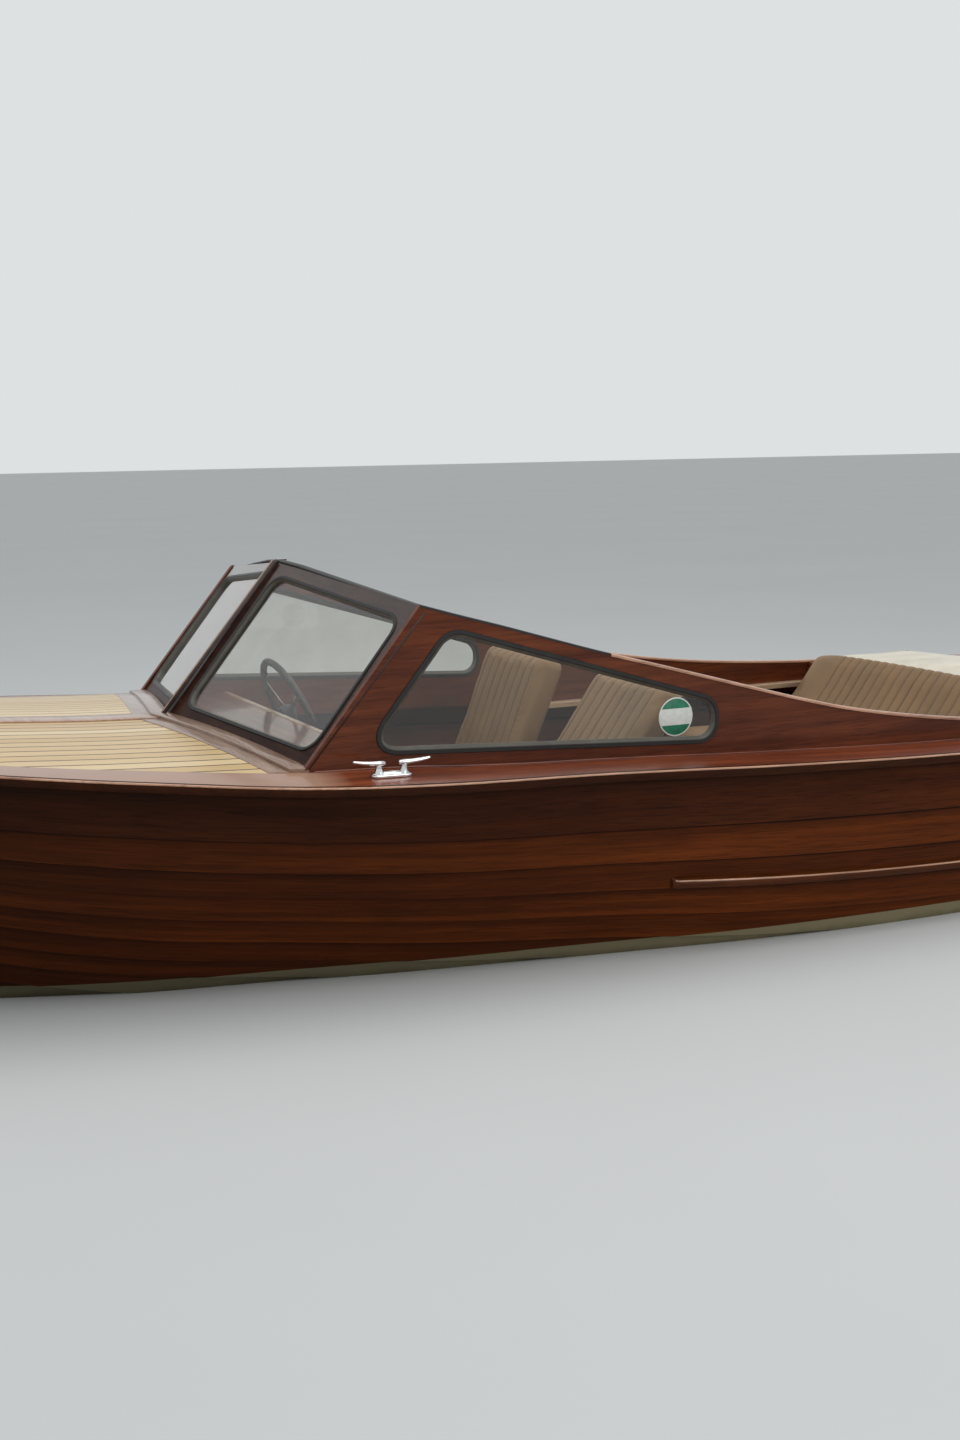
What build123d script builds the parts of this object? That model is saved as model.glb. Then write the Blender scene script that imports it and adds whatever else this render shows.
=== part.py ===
from build123d import *
import os
from math import cos, hypot, radians, sin

os.makedirs("parts", exist_ok=True)

# Millimetres. +X to the bow, +Y to port, +Z up, origin amidships on the waterline.

# Hull
HALF_BEAM = 1046.0
SIDE_DECK = 196.0
PLANK = 12.0
LAP_STEP = 9.0
BACKBONE_HALF = 30.0
DECK = 14.0
TRANSOM_THICK = 25.0
KEEL_LANDING = PLANK + 6.0

# Hull sections: each lies in a plane from (x_keel, keel_z) to (x_sheer, sheer_z). The frame's outline
# is one curve from the keel to the sheer, with (y1, z1) and (y2, z2) as its control points. The
# half-breadths half, y1 and y2 are shares of HALF_BEAM.
# x_keel, keel_z, x_sheer, half, sheer_z, y1, z1, y2, z2
SECTIONS = (
    (-2850, -70, -2850, 0.865, 512, 0.612, -80, 0.96, -110),
    (-2300, -155, -2300, 0.932, 521, 0.661, -157, 1.017, -178),
    (-1700, -229, -1700, 0.97, 532, 0.691, -225, 1.063, -217),
    (-1100, -273, -1100, 0.99, 547, 0.683, -269, 1.066, -217),
    (-500, -292, -500, 1.0, 569, 0.61, -285, 1.037, -179),
    (100, -295, 100, 0.996, 588, 0.497, -280, 0.931, -120),
    (600, -289, 600, 0.967, 598, 0.395, -264, 0.868, -76),
    (1000, -278, 1000, 0.913, 617, 0.315, -244, 0.792, -46),
    (1350, -258, 1350, 0.834, 648, 0.25, -219, 0.761, -23),
    (1650, -238, 1660, 0.751, 674, 0.178, -195, 0.678, 20),
    (1900, -215, 1960, 0.646, 697, 0.12, -165, 0.54, 50),
    (2050, -194, 2215, 0.53, 714, 0.095, -119, 0.467, 110),
    (2180, -170, 2480, 0.382, 731, 0.076, -60, 0.301, 220),
)
# The stem's rabbet, in side view: start, control and end
RABBET = ((2300, -130), (2640, -40), (2880, 752))
# The stem's face and back stand off the rabbet by (x, z), at its foot and at its head
STEM_FACE = ((8, -44), (42, -4))
STEM_BACK = ((-30, 34), (-36, 14))
STEM_HEAD = ((44, 38), (-32, 34))

# Drive: the rudder's stock stands ahead of the transom, the propeller ahead of the stock
SHAFT_R = 14.0
SHAFT_Z = -290.0
RUDDER_INSET = 230.0
RUDDER_X = SECTIONS[0][0] + RUDDER_INSET
PROP_GAP = 225.0
PROP_X = RUDDER_X + PROP_GAP
PROP_R = 112.0
PROP_HUB_R = 28.0
PROP_HUB_LONG = 80.0
BLADES = 3
BLADE_CHORD = 84.0
BLADE_THICK = 7.0
BLADE_PITCH = 28.0
STOCK_R = 14.0
PINTLE_R = 10.0
RUDDER_THICK = 24.0
DEADWOOD_AFT = PROP_X + PROP_HUB_LONG / 2 + 25
DEADWOOD_TOP = SHAFT_Z + PROP_R + 6
HEEL_TOP = SHAFT_Z - PROP_R - 23
HEEL_DEPTH = 25.0
# The rudder blade's corners from the stock
RUDDER_BLADE = ((54, SHAFT_Z + 140), (-180, SHAFT_Z + 155), (-192, HEEL_TOP + 35), (54, HEEL_TOP + 13))
# The keel's lower edge from the stem aft
KEEL_FOOT = (
    (2300, -178), (1900, -262), (1350, -322), (600, -372), (-300, -412),
    (-1500, HEEL_TOP - HEEL_DEPTH), (RUDDER_X - 40, HEEL_TOP - HEEL_DEPTH),
)
# Upper edge of each plank, as a share of the girth from the sheer down to the keel
LAPS = (0, 0.11, 0.18, 0.24, 0.30, 0.36, 0.42, 0.48, 0.55, 0.63, 0.72, 0.82, 0.92, 1)

COAMING_OUT = HALF_BEAM - SIDE_DECK
# The covering board's inner edge ends this far out from the stem's side
BOARD_TIP = 5.7
# Deck: inner edge of the covering board as a share of COAMING_OUT, its rise over the outer edge,
# height of the centreline, and half the width of the flat that carries the king plank
# x, inner, inner_rise, crown_z, king_half
DECK_TABLE = (
    (-2850, 1, 8, 548, 0),
    (-2450, 1, 11, 562, 0),
    (-2300, 1, 12, 0, 0),
    (-1700, 1, 14, 0, 0),
    (-1100, 1, 19, 0, 0),
    (-500, 1, 25, 0, 0),
    (100, 1, 23, 0, 0),
    (600, 1, 25, 0, 0),
    (668, 1, 23.6, 0, 0),
    (798, 1, 21, 0, 0),
    (944, 1, 18, 687, 50),
    (1000, 0.989, 18, 688, 50),
    (1350, 0.892, 15, 699, 50),
    (1660, 0.791, 12, 719, 50),
    (1960, 0.661, 10, 737, 50),
    (2215, 0.518, 8, 749, 50),
    (2480, 0.336, 6, 760, 50),
    (2840, (BACKBONE_HALF + BOARD_TIP) / COAMING_OUT, 3, 771, 12),
)
KING_RISE = 5.0

# Cockpit
COAMING_THICK = 20.0
COAMING_IN = COAMING_OUT - COAMING_THICK
COAMING_AFT = -2450.0
SOLE_TOP = 40.0
SOLE_THICK = 15.0
PANEL = 18.0
FRONT_BULKHEAD = 1100.0
ENGINE_BULKHEAD = -1925.0

# Windscreen: one flat pane each side, meeting at the centreline
SCREEN_BASE_MID = (1096, 0, 690)
SCREEN_BASE_CORNER = (944, COAMING_OUT, 645)
SCREEN_TOP_MID = (720, 0, 1160)
# The pane's corners: share of the base's length along it, and height above it
SCREEN_OUTLINE = ((0, 0), (1, 0), (1.04, 550), (0.0486, 600))
SCREEN_FACE = 54.0
SCREEN_THICK = 24.0
SCREEN_CORNER_R = 55.0
GLASS = 6.0
POST_HALF = 12.0
POST_DEPTH = 30.0
# How far the foredeck runs in under the windscreen's foot
SCREEN_LANDING = 30.0

# Coaming outline in side view
COAMING_TOP = (
    (606, 1079), (483, 1034), (358, 992), (199, 951), (34, 913), (-135, 868),
    (-309, 818), (-489, 763), (-675, 717), (-827, 687), (-984, 659), (-1144, 637),
    (-1308, 617), (-1632, 594), (-1900, 580), (-2450, 572),
)
COAMING_FOOT = ((-2450, 440), (-1305, 450), (-308, 500), (943.5, 530), (943.5, 649), (956, 650))
# Side window outline and corner radii, from the lower front corner round to the top
WINDOW = (((780, 684), 44), ((-362, 622), 56), ((-362, 740), 60), ((517, 1005), 32))

# Helm
DASH_AFT = 644.0
DASH_TOP = 620.0
DASH_FOOT = 420.0
DASH_THICK = 16.0
WHEEL_REACH = 84.0
WHEEL_CENTRE = (DASH_AFT - WHEEL_REACH, -350, DASH_TOP - 10)
WHEEL_RAKE = 23.0
WHEEL_R = 190.0
RIM_R = 13.0
WHEEL_SHAFT_R = 12.0
COLUMN_R = 26.0
COLUMN_START = 52.0
COLUMN_END = 170.0
HUB_R = 34.0
RUNNING_FIT = 0.05


def mix(a, b, t):
    return tuple(p + (q - p) * t for p, q in zip(a, b))


def row_at(rows, x):
    """A table's row at any x, straight between its neighbours."""
    for low, high in zip(rows, rows[1:]):
        if low[0] <= x <= high[0]:
            return mix(low, high, (x - low[0]) / (high[0] - low[0]))
    raise ValueError(x)


def cubic(points, t):
    s = 1 - t
    weights = (s**3, 3 * t * s * s, 3 * t * t * s, t**3)
    return tuple(sum(w * p[i] for w, p in zip(weights, points)) for i in (0, 1))


def share_points(curve):
    """Points of a polyline at the planks' shares of its length, with outward normals."""
    lengths = [0.0]
    for p, q in zip(curve, curve[1:]):
        lengths.append(lengths[-1] + hypot(q[0] - p[0], q[1] - p[1]))
    found = []
    for share in LAPS:
        want = lengths[-1] * (1 - share)
        n = max(i for i in range(len(curve) - 1) if lengths[i] <= want or i == 0)
        t = (want - lengths[n]) / (lengths[n + 1] - lengths[n])
        along = (curve[n + 1][0] - curve[n][0], curve[n + 1][1] - curve[n][1])
        size = hypot(*along)
        found.append((mix(curve[n], curve[n + 1], t), (along[1] / size, -along[0] / size)))
    return found


def plank_section(row):
    """Outer stepped edge and inner smooth edge of the planking at one section, as (x, y, z)."""
    x_keel, keel_z, x_sheer, half, sheer, y1, z1, y2, z2 = row
    controls = ((BACKBONE_HALF, keel_z), (y1, z1), (y2, z2), (half, sheer))
    marks = share_points([cubic(controls, i / 80) for i in range(81)])
    outer, inner = [], []
    for i, (point, normal) in enumerate(marks):
        last = i == len(marks) - 1
        if i and not last:
            outer.append((point[0] + normal[0] * LAP_STEP, point[1] + normal[1] * LAP_STEP))
        outer.append(point)
        if i == 0:
            inner.append((point[0] - PLANK, point[1] - 1))
        elif last:
            inner.append((point[0], point[1] + PLANK))
        else:
            inner.append((point[0] - normal[0] * PLANK, point[1] - normal[1] * PLANK))
    lean = (x_sheer - x_keel) / (sheer - keel_z)
    return [[(x_keel + (z - keel_z) * lean, y, z) for y, z in edge] for edge in (outer, inner)]


def rabbet(t):
    """A point of the stem's rabbet in side view, from its foot to its head."""
    start, control, end = RABBET
    return mix(mix(start, control, t), mix(control, end, t), t)


def stem_section():
    """The planks' ends against the side of the stem, as (x, y, z)."""
    outer, inner = [], []
    marks = share_points([rabbet(i / 40) for i in range(41)])
    for i, ((x, z), normal) in enumerate(marks):
        last = i == len(marks) - 1
        if i and not last:
            outer.append((x + 2, BACKBONE_HALF, z))
        outer.append((x, BACKBONE_HALF, z))
        inner.append((x - PLANK * 1.6, BACKBONE_HALF, z + PLANK if last else z))
    return [outer, inner]


HULL = []
for x_keel, keel_z, x_sheer, half, sheer_z, y1, z1, y2, z2 in SECTIONS:
    HULL.append(
        (x_keel, keel_z, x_sheer, half * HALF_BEAM, sheer_z, y1 * HALF_BEAM, z1, y2 * HALF_BEAM, z2)
    )
PLANKING = [plank_section(row) for row in HULL] + [stem_section()]
SHEER = [(row[2], row[3], row[4]) for row in HULL]
SHEER.append((RABBET[2][0], BACKBONE_HALF, RABBET[2][1]))
DECK_ROWS = []
for x, inner, rise, crown, flat in DECK_TABLE:
    half, sheer = row_at(SHEER, x)[1:]
    DECK_ROWS.append((x, half, sheer, inner * COAMING_OUT, rise, crown, flat))


def section_plane(points, side):
    """The plane of one section, and its points in it."""
    flat = [(x, side * y, z) for x, y, z in points]
    xs = [p[0] for p in flat]
    ys = [p[1] for p in flat]
    if max(ys) - min(ys) < 0.01:
        plane = Plane(origin=(0, ys[0], 0), x_dir=(1, 0, 0), z_dir=(0, -1, 0))
    else:
        low = min(flat, key=lambda p: p[2])
        high = max(flat, key=lambda p: p[2])
        lean = 0.0 if max(xs) - min(xs) < 0.01 else (high[0] - low[0]) / (high[2] - low[2])
        plane = Plane(origin=(low[0] - low[2] * lean, 0, 0), x_dir=(0, 1, 0), z_dir=(1, 0, -lean))
    local = [plane.to_local_coords(Vector(*p)) for p in flat]
    return plane, [(p.X, p.Y) for p in local]


def hull_inside(x):
    """The planking's inner edge on the plane at x, from the sheer down to the keel, as (y, z)."""
    for (row, low), (next_row, high) in zip(
        zip(SECTIONS, PLANKING), zip(SECTIONS[1:], PLANKING[1:])
    ):
        if row[0] <= x <= next_row[0]:
            t = (x - row[0]) / (next_row[0] - row[0])
            return [mix(a, b, t)[1:] for a, b in zip(low[1], high[1])]
    raise ValueError(x)


def inside_half(x, z):
    """Half-breadth inside the planking at x and height z."""
    edge = hull_inside(x)
    for (y_high, z_high), (y_low, z_low) in zip(edge, edge[1:]):
        if z_low <= z <= z_high:
            return y_low + (y_high - y_low) * (z - z_low) / (z_high - z_low)
    raise ValueError((x, z))


def keel_top(x):
    """Height of the keel's upper face, just above the planks' lower edge."""
    return row_at([row[:2] for row in SECTIONS], x)[1] + KEEL_LANDING


def out(piece, name):
    piece.part.label = name
    export_step(piece.part, f"parts/{name}.step")


SIDES = (("port", 1), ("starboard", -1))

# Planking, one shell each side of the backbone
for side_name, side in SIDES:
    with BuildPart() as planking:
        for edges in PLANKING:
            plane, points = section_plane(edges[0] + edges[1][::-1], side)
            with BuildSketch(plane):
                with BuildLine():
                    Polyline(*points, close=True)
                make_face()
        loft(ruled=True)
    out(planking, f"planking_{side_name}")

# Backbone: keel with deadwood, heel and propeller aperture
keel_line = [(row[0], keel_top(row[0])) for row in SECTIONS]
keel_end = (RABBET[0][0], RABBET[0][1] + KEEL_LANDING)
keel_line.append(keel_end)
aperture = (
    (KEEL_FOOT[-1][0], HEEL_TOP), (DEADWOOD_AFT, HEEL_TOP), (DEADWOOD_AFT, DEADWOOD_TOP),
    (SECTIONS[0][0], SECTIONS[0][1] - KEEL_LANDING),
)
SHAFT_BORE = 180.0
STOCK_BORE = 200.0
PINTLE_BORE = 20.0
with BuildPart() as keel:
    with BuildSketch(Plane.XZ):
        with BuildLine():
            Polyline(*keel_line, *KEEL_FOOT, *aperture, close=True)
        make_face()
    extrude(amount=BACKBONE_HALF, both=True)
    with BuildSketch(Plane.YZ.offset(DEADWOOD_AFT - 1)):
        with Locations((0, SHAFT_Z)):
            Circle(SHAFT_R + RUNNING_FIT)
    extrude(amount=SHAFT_BORE + 1, mode=Mode.SUBTRACT)
    with BuildSketch(Plane.XY.offset(-STOCK_BORE)):
        with Locations((RUDDER_X, 0)):
            Circle(STOCK_R + RUNNING_FIT)
    extrude(amount=STOCK_BORE, mode=Mode.SUBTRACT)
    with BuildSketch(Plane.XY.offset(HEEL_TOP + 1)):
        with Locations((RUDDER_X, 0)):
            Circle(PINTLE_R + RUNNING_FIT)
    extrude(amount=-PINTLE_BORE - 1, mode=Mode.SUBTRACT)
out(keel, "keel")

# Stem
stem_edges = []
for offsets in (STEM_FACE, STEM_BACK):
    edge = []
    for i in range(11):
        x, z = rabbet(i / 10)
        dx, dz = mix(*offsets, i / 10)
        edge.append((x + dx, z + dz))
    stem_edges.append(edge)
stem_front, stem_back = stem_edges
stem_front[0] = KEEL_FOOT[0]
stem_back[0] = keel_end
stem_head = [(RABBET[2][0] + dx, RABBET[2][1] + dz) for dx, dz in STEM_HEAD]
with BuildPart() as stem:
    with BuildSketch(Plane.XZ):
        with BuildLine():
            Polyline(*stem_front, *stem_head, *stem_back[::-1], close=True)
        make_face()
    extrude(amount=BACKBONE_HALF, both=True)
out(stem, "stem")

# Transom
transom_edge = [(y, z) for x, y, z in PLANKING[0][0]]
half_transom = [transom_edge[0]] + transom_edge[2:-1:2] + [transom_edge[-1]]
transom_top = [(COAMING_OUT, DECK_ROWS[0][2] + DECK_ROWS[0][4]), (0, DECK_ROWS[0][5] - DECK)]
ring = half_transom + [(-y, z) for y, z in half_transom[::-1]]
ring += [(-transom_top[0][0], transom_top[0][1]), transom_top[1], transom_top[0]]
with BuildPart() as transom:
    with BuildSketch(Plane.YZ.offset(SECTIONS[0][0] - TRANSOM_THICK)):
        with BuildLine():
            Polyline(*ring, close=True)
        make_face()
    extrude(amount=TRANSOM_THICK)
out(transom, "transom")

# Gunwale rail outline, from the sheer or from its foot on the planking: corner, outward, up
GUNWALE = (
    ("foot", 0, 0), ("sheer", 0, 0), ("sheer", 0, DECK), ("sheer", 14, DECK), ("sheer", 22, 6),
    ("foot", 18, 0),
)
GUNWALE_COVER = 0.1
# Rub rail: its edges and middle as shares of the plank that carries it, and its depth
RUB_HIGH = 0.62
RUB_MIDDLE = 0.81
RUB_DEPTH = 20.0
RUB_END_DEPTH = 7.0
RUB_FORE = -120.0


def gunwale_shape(outer, at_stem):
    """The gunwale's outline at one section, as (x, y, z)."""
    corners = {"sheer": outer[0], "foot": mix(outer[0], outer[1], GUNWALE_COVER)}
    lean = 0 if at_stem else (outer[0][0] - outer[-1][0]) / (outer[0][2] - outer[-1][2])
    shape = []
    for name, outward, up in GUNWALE:
        x, y, z = corners[name]
        if at_stem:
            shape.append((x + outward, y, z + up))
        else:
            shape.append((outer[0][0] + (z + up - outer[0][2]) * lean, y + outward, z + up))
    return shape


for side_name, side in SIDES:
    with BuildPart() as gunwale:
        for n, (outer, inner) in enumerate(PLANKING):
            shape = gunwale_shape(outer, n == len(PLANKING) - 1)
            plane, points = section_plane(shape, side)
            with BuildSketch(plane):
                with BuildLine():
                    Polyline(*points, close=True)
                make_face()
        loft(ruled=True)
    out(gunwale, f"gunwale_{side_name}")

    rub_start = (RUB_FORE - SECTIONS[4][0]) / (SECTIONS[5][0] - SECTIONS[4][0])
    rub_rows = [(edges[0][4], edges[0][5], RUB_DEPTH) for edges in PLANKING[:5]]
    start_row = [mix(PLANKING[4][0][k], PLANKING[5][0][k], rub_start) for k in (4, 5)]
    rub_rows.append((*start_row, RUB_END_DEPTH))
    with BuildPart() as rub:
        for upper, lower, depth in rub_rows:
            high = mix(upper, lower, RUB_HIGH)
            middle = mix(upper, lower, RUB_MIDDLE)
            shape = [
                lower,
                high,
                (high[0], high[1] + depth * 0.55, high[2] - 2),
                (middle[0], middle[1] + depth, middle[2]),
                (lower[0], lower[1] + depth * 0.55, lower[2] + 2),
            ]
            plane, points = section_plane(shape, side)
            with BuildSketch(plane):
                with BuildLine():
                    Polyline(*points, close=True)
                make_face()
        loft(ruled=True)
    out(rub, f"rub_rail_{side_name}")

    # Covering board and side deck in one length
    with BuildPart() as board:
        for x, half, sheer, inner_y, rise, crown, flat in DECK_ROWS:
            with BuildSketch(Plane.YZ.offset(x)):
                with BuildLine():
                    Polyline(
                        (side * half, sheer),
                        (side * half, sheer + DECK),
                        (side * inner_y, sheer + DECK + rise),
                        (side * inner_y, sheer + rise),
                        close=True,
                    )
                make_face()
        loft(ruled=True)
    out(board, f"covering_board_{side_name}")

# Foredeck: from a little aft of the windscreen's foot to the stem
SHARES = (1.0, 0.7, 0.4)
DECK_SLOT = 64.0
deck_block_foot = DASH_FOOT - 20


def deck_top(row):
    """The foredeck's upper edge at one row, from the covering board in to the king plank."""
    x, half, sheer, inner_y, rise, crown, flat = row
    edge = sheer + DECK + rise
    span = inner_y - flat
    points = [(flat + span * s, crown - (crown - edge) * s * s) for s in SHARES]
    return points + [(flat, crown)]


fore_rows = [row for row in DECK_ROWS if row[0] >= SCREEN_BASE_CORNER[0]]
corner = fore_rows[0]
slot = corner[:3] + (COAMING_IN,) + corner[4:]
foredeck_rows = [(corner[0] - DECK_SLOT,) + slot[1:], slot, row_at(DECK_ROWS, corner[0] + 2)]
foredeck_rows += fore_rows[1:]
corner_cut = SCREEN_BASE_CORNER[0] - SCREEN_LANDING
mid_cut = SCREEN_BASE_MID[0] - SCREEN_LANDING
cut_half = COAMING_OUT + 10
cut_aft = foredeck_rows[0][0] - 10
with BuildPart() as foredeck:
    for row in foredeck_rows:
        top = deck_top(row)
        ring = top + [(-y, z) for y, z in top[::-1]]
        ring += [(-y, z - DECK) for y, z in top] + [(y, z - DECK) for y, z in top[::-1]]
        with BuildSketch(Plane.YZ.offset(row[0])):
            with BuildLine():
                Polyline(*ring, close=True)
            make_face()
    loft(ruled=True)
    with BuildSketch(Plane.XY.offset(deck_block_foot)):
        with BuildLine():
            Polyline(
                (cut_aft, -cut_half), (corner_cut, -cut_half), (mid_cut, 0), (corner_cut, cut_half),
                (cut_aft, cut_half), close=True,
            )
        make_face()
    extrude(amount=SCREEN_TOP_MID[2], mode=Mode.SUBTRACT)
out(foredeck, "foredeck")
with BuildPart() as deck_block:
    for row in foredeck_rows[:5]:
        top = deck_top(row)
        ring = top + [(-y, z) for y, z in top[::-1]]
        ring += [(-top[0][0], deck_block_foot), (top[0][0], deck_block_foot)]
        with BuildSketch(Plane.YZ.offset(row[0])):
            with BuildLine():
                Polyline(*ring, close=True)
            make_face()
    loft(ruled=True)

# King plank, proud of the planking, from the windscreen to the stem
with BuildPart() as king_plank:
    for row in [row_at(DECK_ROWS, SCREEN_BASE_MID[0] + 34)] + fore_rows[2:]:
        with BuildSketch(Plane.YZ.offset(row[0])):
            with Locations((0, row[5] + KING_RISE / 2)):
                Rectangle(2 * row[6] - 2, KING_RISE)
    loft(ruled=True)
out(king_plank, "king_plank")

# Aft deck
with BuildPart() as aft_deck:
    for x, half, sheer, inner_y, rise, crown, flat in DECK_ROWS[:2]:
        edge = sheer + DECK + rise
        with BuildSketch(Plane.YZ.offset(x)):
            with BuildLine():
                Polyline(
                    (inner_y, edge), (0, crown), (-inner_y, edge), (-inner_y, edge - DECK),
                    (0, crown - DECK), (inner_y, edge - DECK), close=True,
                )
            make_face()
    loft(ruled=True)
out(aft_deck, "aft_deck")

# Coamings with the long side windows, and their glass
coaming_ring = list(COAMING_TOP) + list(COAMING_FOOT)
with BuildSketch() as window:
    with BuildLine():
        Polyline(*[point for point, radius in WINDOW], close=True)
    make_face()
    for (px, pz), radius in WINDOW:
        corner = window.vertices().sort_by_distance((px, pz, 0))[0]
        fillet(corner, radius)
for side_name, side in SIDES:
    face = Plane(origin=(0, side * COAMING_OUT, 0), x_dir=(1, 0, 0), z_dir=(0, -1, 0))
    with BuildPart() as coaming:
        with BuildSketch(face):
            with BuildLine():
                Polyline(*coaming_ring, close=True)
            make_face()
            add(window.sketch, mode=Mode.SUBTRACT)
        extrude(amount=side * COAMING_THICK)
    out(coaming, f"coaming_{side_name}")
    glass_face = face.offset(side * (COAMING_THICK - GLASS) / 2)
    with BuildPart() as side_glass:
        with BuildSketch(glass_face):
            add(window.sketch)
        extrude(amount=side * GLASS)
    out(side_glass, f"side_glass_{side_name}")

coaming_low = COAMING_FOOT[0][1]
coaming_high = COAMING_TOP[-1][1]
with BuildPart() as aft_coaming:
    with BuildSketch(Plane.YZ.offset(COAMING_AFT)):
        with Locations((0, (coaming_low + coaming_high) / 2)):
            Rectangle(2 * COAMING_IN, coaming_high - coaming_low)
    extrude(amount=COAMING_THICK)
out(aft_coaming, "aft_coaming")

# Windscreen
base = Vector(*SCREEN_BASE_MID)
along = Vector(*SCREEN_BASE_CORNER) - base
rise = Vector(*SCREEN_TOP_MID) - base
screen = Plane(origin=base, x_dir=along, z_dir=along.cross(rise))
pane_corners = [(share * along.length, height) for share, height in SCREEN_OUTLINE]
with BuildSketch() as screen_hole:
    with BuildLine():
        Polyline(*pane_corners, close=True)
    make_face()
    offset(amount=-SCREEN_FACE, kind=Kind.INTERSECTION, mode=Mode.REPLACE)
    fillet(screen_hole.vertices(), SCREEN_CORNER_R)
with BuildPart() as screen_frame:
    with BuildSketch(screen):
        with BuildLine():
            Polyline(*pane_corners, close=True)
        make_face()
        add(screen_hole.sketch, mode=Mode.SUBTRACT)
    extrude(amount=-SCREEN_THICK)
    split(bisect_by=Plane.XZ.offset(-POST_HALF), keep=Keep.BOTTOM)
    split(bisect_by=Plane.XZ.offset(-COAMING_IN), keep=Keep.TOP)
    add(deck_block.part, mode=Mode.SUBTRACT)
with BuildPart() as screen_glass:
    with BuildSketch(screen.offset(-(SCREEN_THICK - GLASS) / 2)):
        add(screen_hole.sketch)
    extrude(amount=-GLASS)
for side_name, side in SIDES:
    for piece, name in ((screen_frame, "screen_frame"), (screen_glass, "screen_glass")):
        with BuildPart() as half:
            if side == 1:
                add(piece.part)
            else:
                mirror(piece.part, about=Plane.XZ)
        out(half, f"{name}_{side_name}")
post_foot = (SCREEN_BASE_MID[0] + POST_HALF, SCREEN_BASE_MID[2] - 10)
post_head = (SCREEN_TOP_MID[0] + 4, SCREEN_TOP_MID[2])
with BuildPart() as screen_post:
    with BuildSketch(Plane.XZ):
        with BuildLine():
            Polyline(
                post_foot, post_head, (post_head[0] - POST_DEPTH, post_head[1]),
                (post_foot[0] - POST_DEPTH - 6, post_foot[1]), close=True,
            )
        make_face()
    extrude(amount=POST_HALF, both=True)
    add(deck_block.part, mode=Mode.SUBTRACT)
out(screen_post, "screen_post")

# Dashboard: shelf under the windscreen, and fascia
wheel_centre = Vector(*WHEEL_CENTRE)
wheel_axis = Vector(cos(radians(WHEEL_RAKE)), 0, -sin(radians(WHEEL_RAKE)))
helm = Plane(origin=wheel_centre, x_dir=(0, 1, 0), z_dir=wheel_axis)
shelf_corner = SCREEN_BASE_CORNER[0] - 14
shelf_mid = SCREEN_BASE_MID[0] - 18
with BuildPart() as dashboard:
    with BuildSketch(Plane.XY.offset(DASH_TOP - DASH_THICK)):
        with BuildLine():
            Polyline(
                (DASH_AFT, -COAMING_IN), (shelf_corner, -COAMING_IN), (shelf_mid, 0),
                (shelf_corner, COAMING_IN), (DASH_AFT, COAMING_IN), close=True,
            )
        make_face()
    extrude(amount=DASH_THICK)
    with BuildSketch(Plane.YZ.offset(DASH_AFT)):
        with Locations((0, (DASH_TOP + DASH_FOOT) / 2)):
            Rectangle(2 * COAMING_IN, DASH_TOP - DASH_FOOT)
    extrude(amount=DASH_THICK)
    with BuildSketch(helm.offset(COLUMN_START - HUB_R)):
        Circle(COLUMN_R)
    extrude(amount=COLUMN_END, mode=Mode.SUBTRACT)
out(dashboard, "dashboard")
with BuildPart() as column:
    with BuildSketch(helm.offset(COLUMN_START)):
        Circle(COLUMN_R)
        Circle(WHEEL_SHAFT_R + RUNNING_FIT, mode=Mode.SUBTRACT)
    extrude(amount=COLUMN_END - COLUMN_START)
out(column, "steering_column")

# Steering wheel: rim, hub, spokes and shaft
SPOKE_ANGLES = (90, 210, 330)
SPOKE_WIDE = 24.0
SPOKE_THICK = 14.0
HUB_START = 8.0
HUB_LONG = 32.0
with BuildPart() as wheel:
    with BuildSketch(helm.offset(HUB_START)):
        Circle(HUB_R)
    extrude(amount=HUB_LONG)
    with BuildSketch(helm.offset(HUB_START + HUB_LONG / 2)):
        Circle(WHEEL_SHAFT_R)
    extrude(amount=COLUMN_END - 40)
    with Locations(helm):
        Torus(WHEEL_R, RIM_R)
    with BuildSketch(helm.offset(-3)):
        for angle in SPOKE_ANGLES:
            with Locations(Rotation(0, 0, angle)):
                with Locations((WHEEL_R / 2, 0)):
                    Rectangle(WHEEL_R - RIM_R, SPOKE_WIDE)
    extrude(amount=SPOKE_THICK)
out(wheel, "steering_wheel")

# Cockpit sole and bulkheads
SOLE_ROWS = (FRONT_BULKHEAD, 1000, 600, 100, -500, -1100, -1700, ENGINE_BULKHEAD + PANEL)
sole_edge = [(x, inside_half(x, SOLE_TOP - SOLE_THICK) - 2) for x in SOLE_ROWS]
with BuildPart() as sole:
    with BuildSketch(Plane.XY.offset(SOLE_TOP - SOLE_THICK)):
        with BuildLine():
            Polyline(*sole_edge, *[(x, -y) for x, y in sole_edge[::-1]], close=True)
        make_face()
    extrude(amount=SOLE_THICK)
out(sole, "cockpit_sole")


def bulkhead_ring(x, step, top):
    """Half outline inside the planking between x and x + step, up to the given height."""
    faces = [hull_inside(x), hull_inside(x + step)]
    half = [(min(a[0], b[0]) - 1, max(a[1], b[1]) + 1) for a, b in zip(*faces)]
    half = [(y, z) for y, z in half if z < top - 20 and y > BACKBONE_HALF]
    low = max(keel_top(x), keel_top(x + step)) + 1
    side_y = min(inside_half(x, top), inside_half(x + step, top)) - 1
    return [(side_y, top)] + half + [(BACKBONE_HALF, low)]


BULKHEAD_TOP = 600.0
front_half = bulkhead_ring(FRONT_BULKHEAD, PANEL, BULKHEAD_TOP)
with BuildPart() as front_bulkhead:
    with BuildSketch(Plane.YZ.offset(FRONT_BULKHEAD)):
        with BuildLine():
            Polyline(*front_half, *[(-y, z) for y, z in front_half[::-1]], close=True)
        make_face()
    extrude(amount=PANEL)
out(front_bulkhead, "front_bulkhead")

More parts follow.
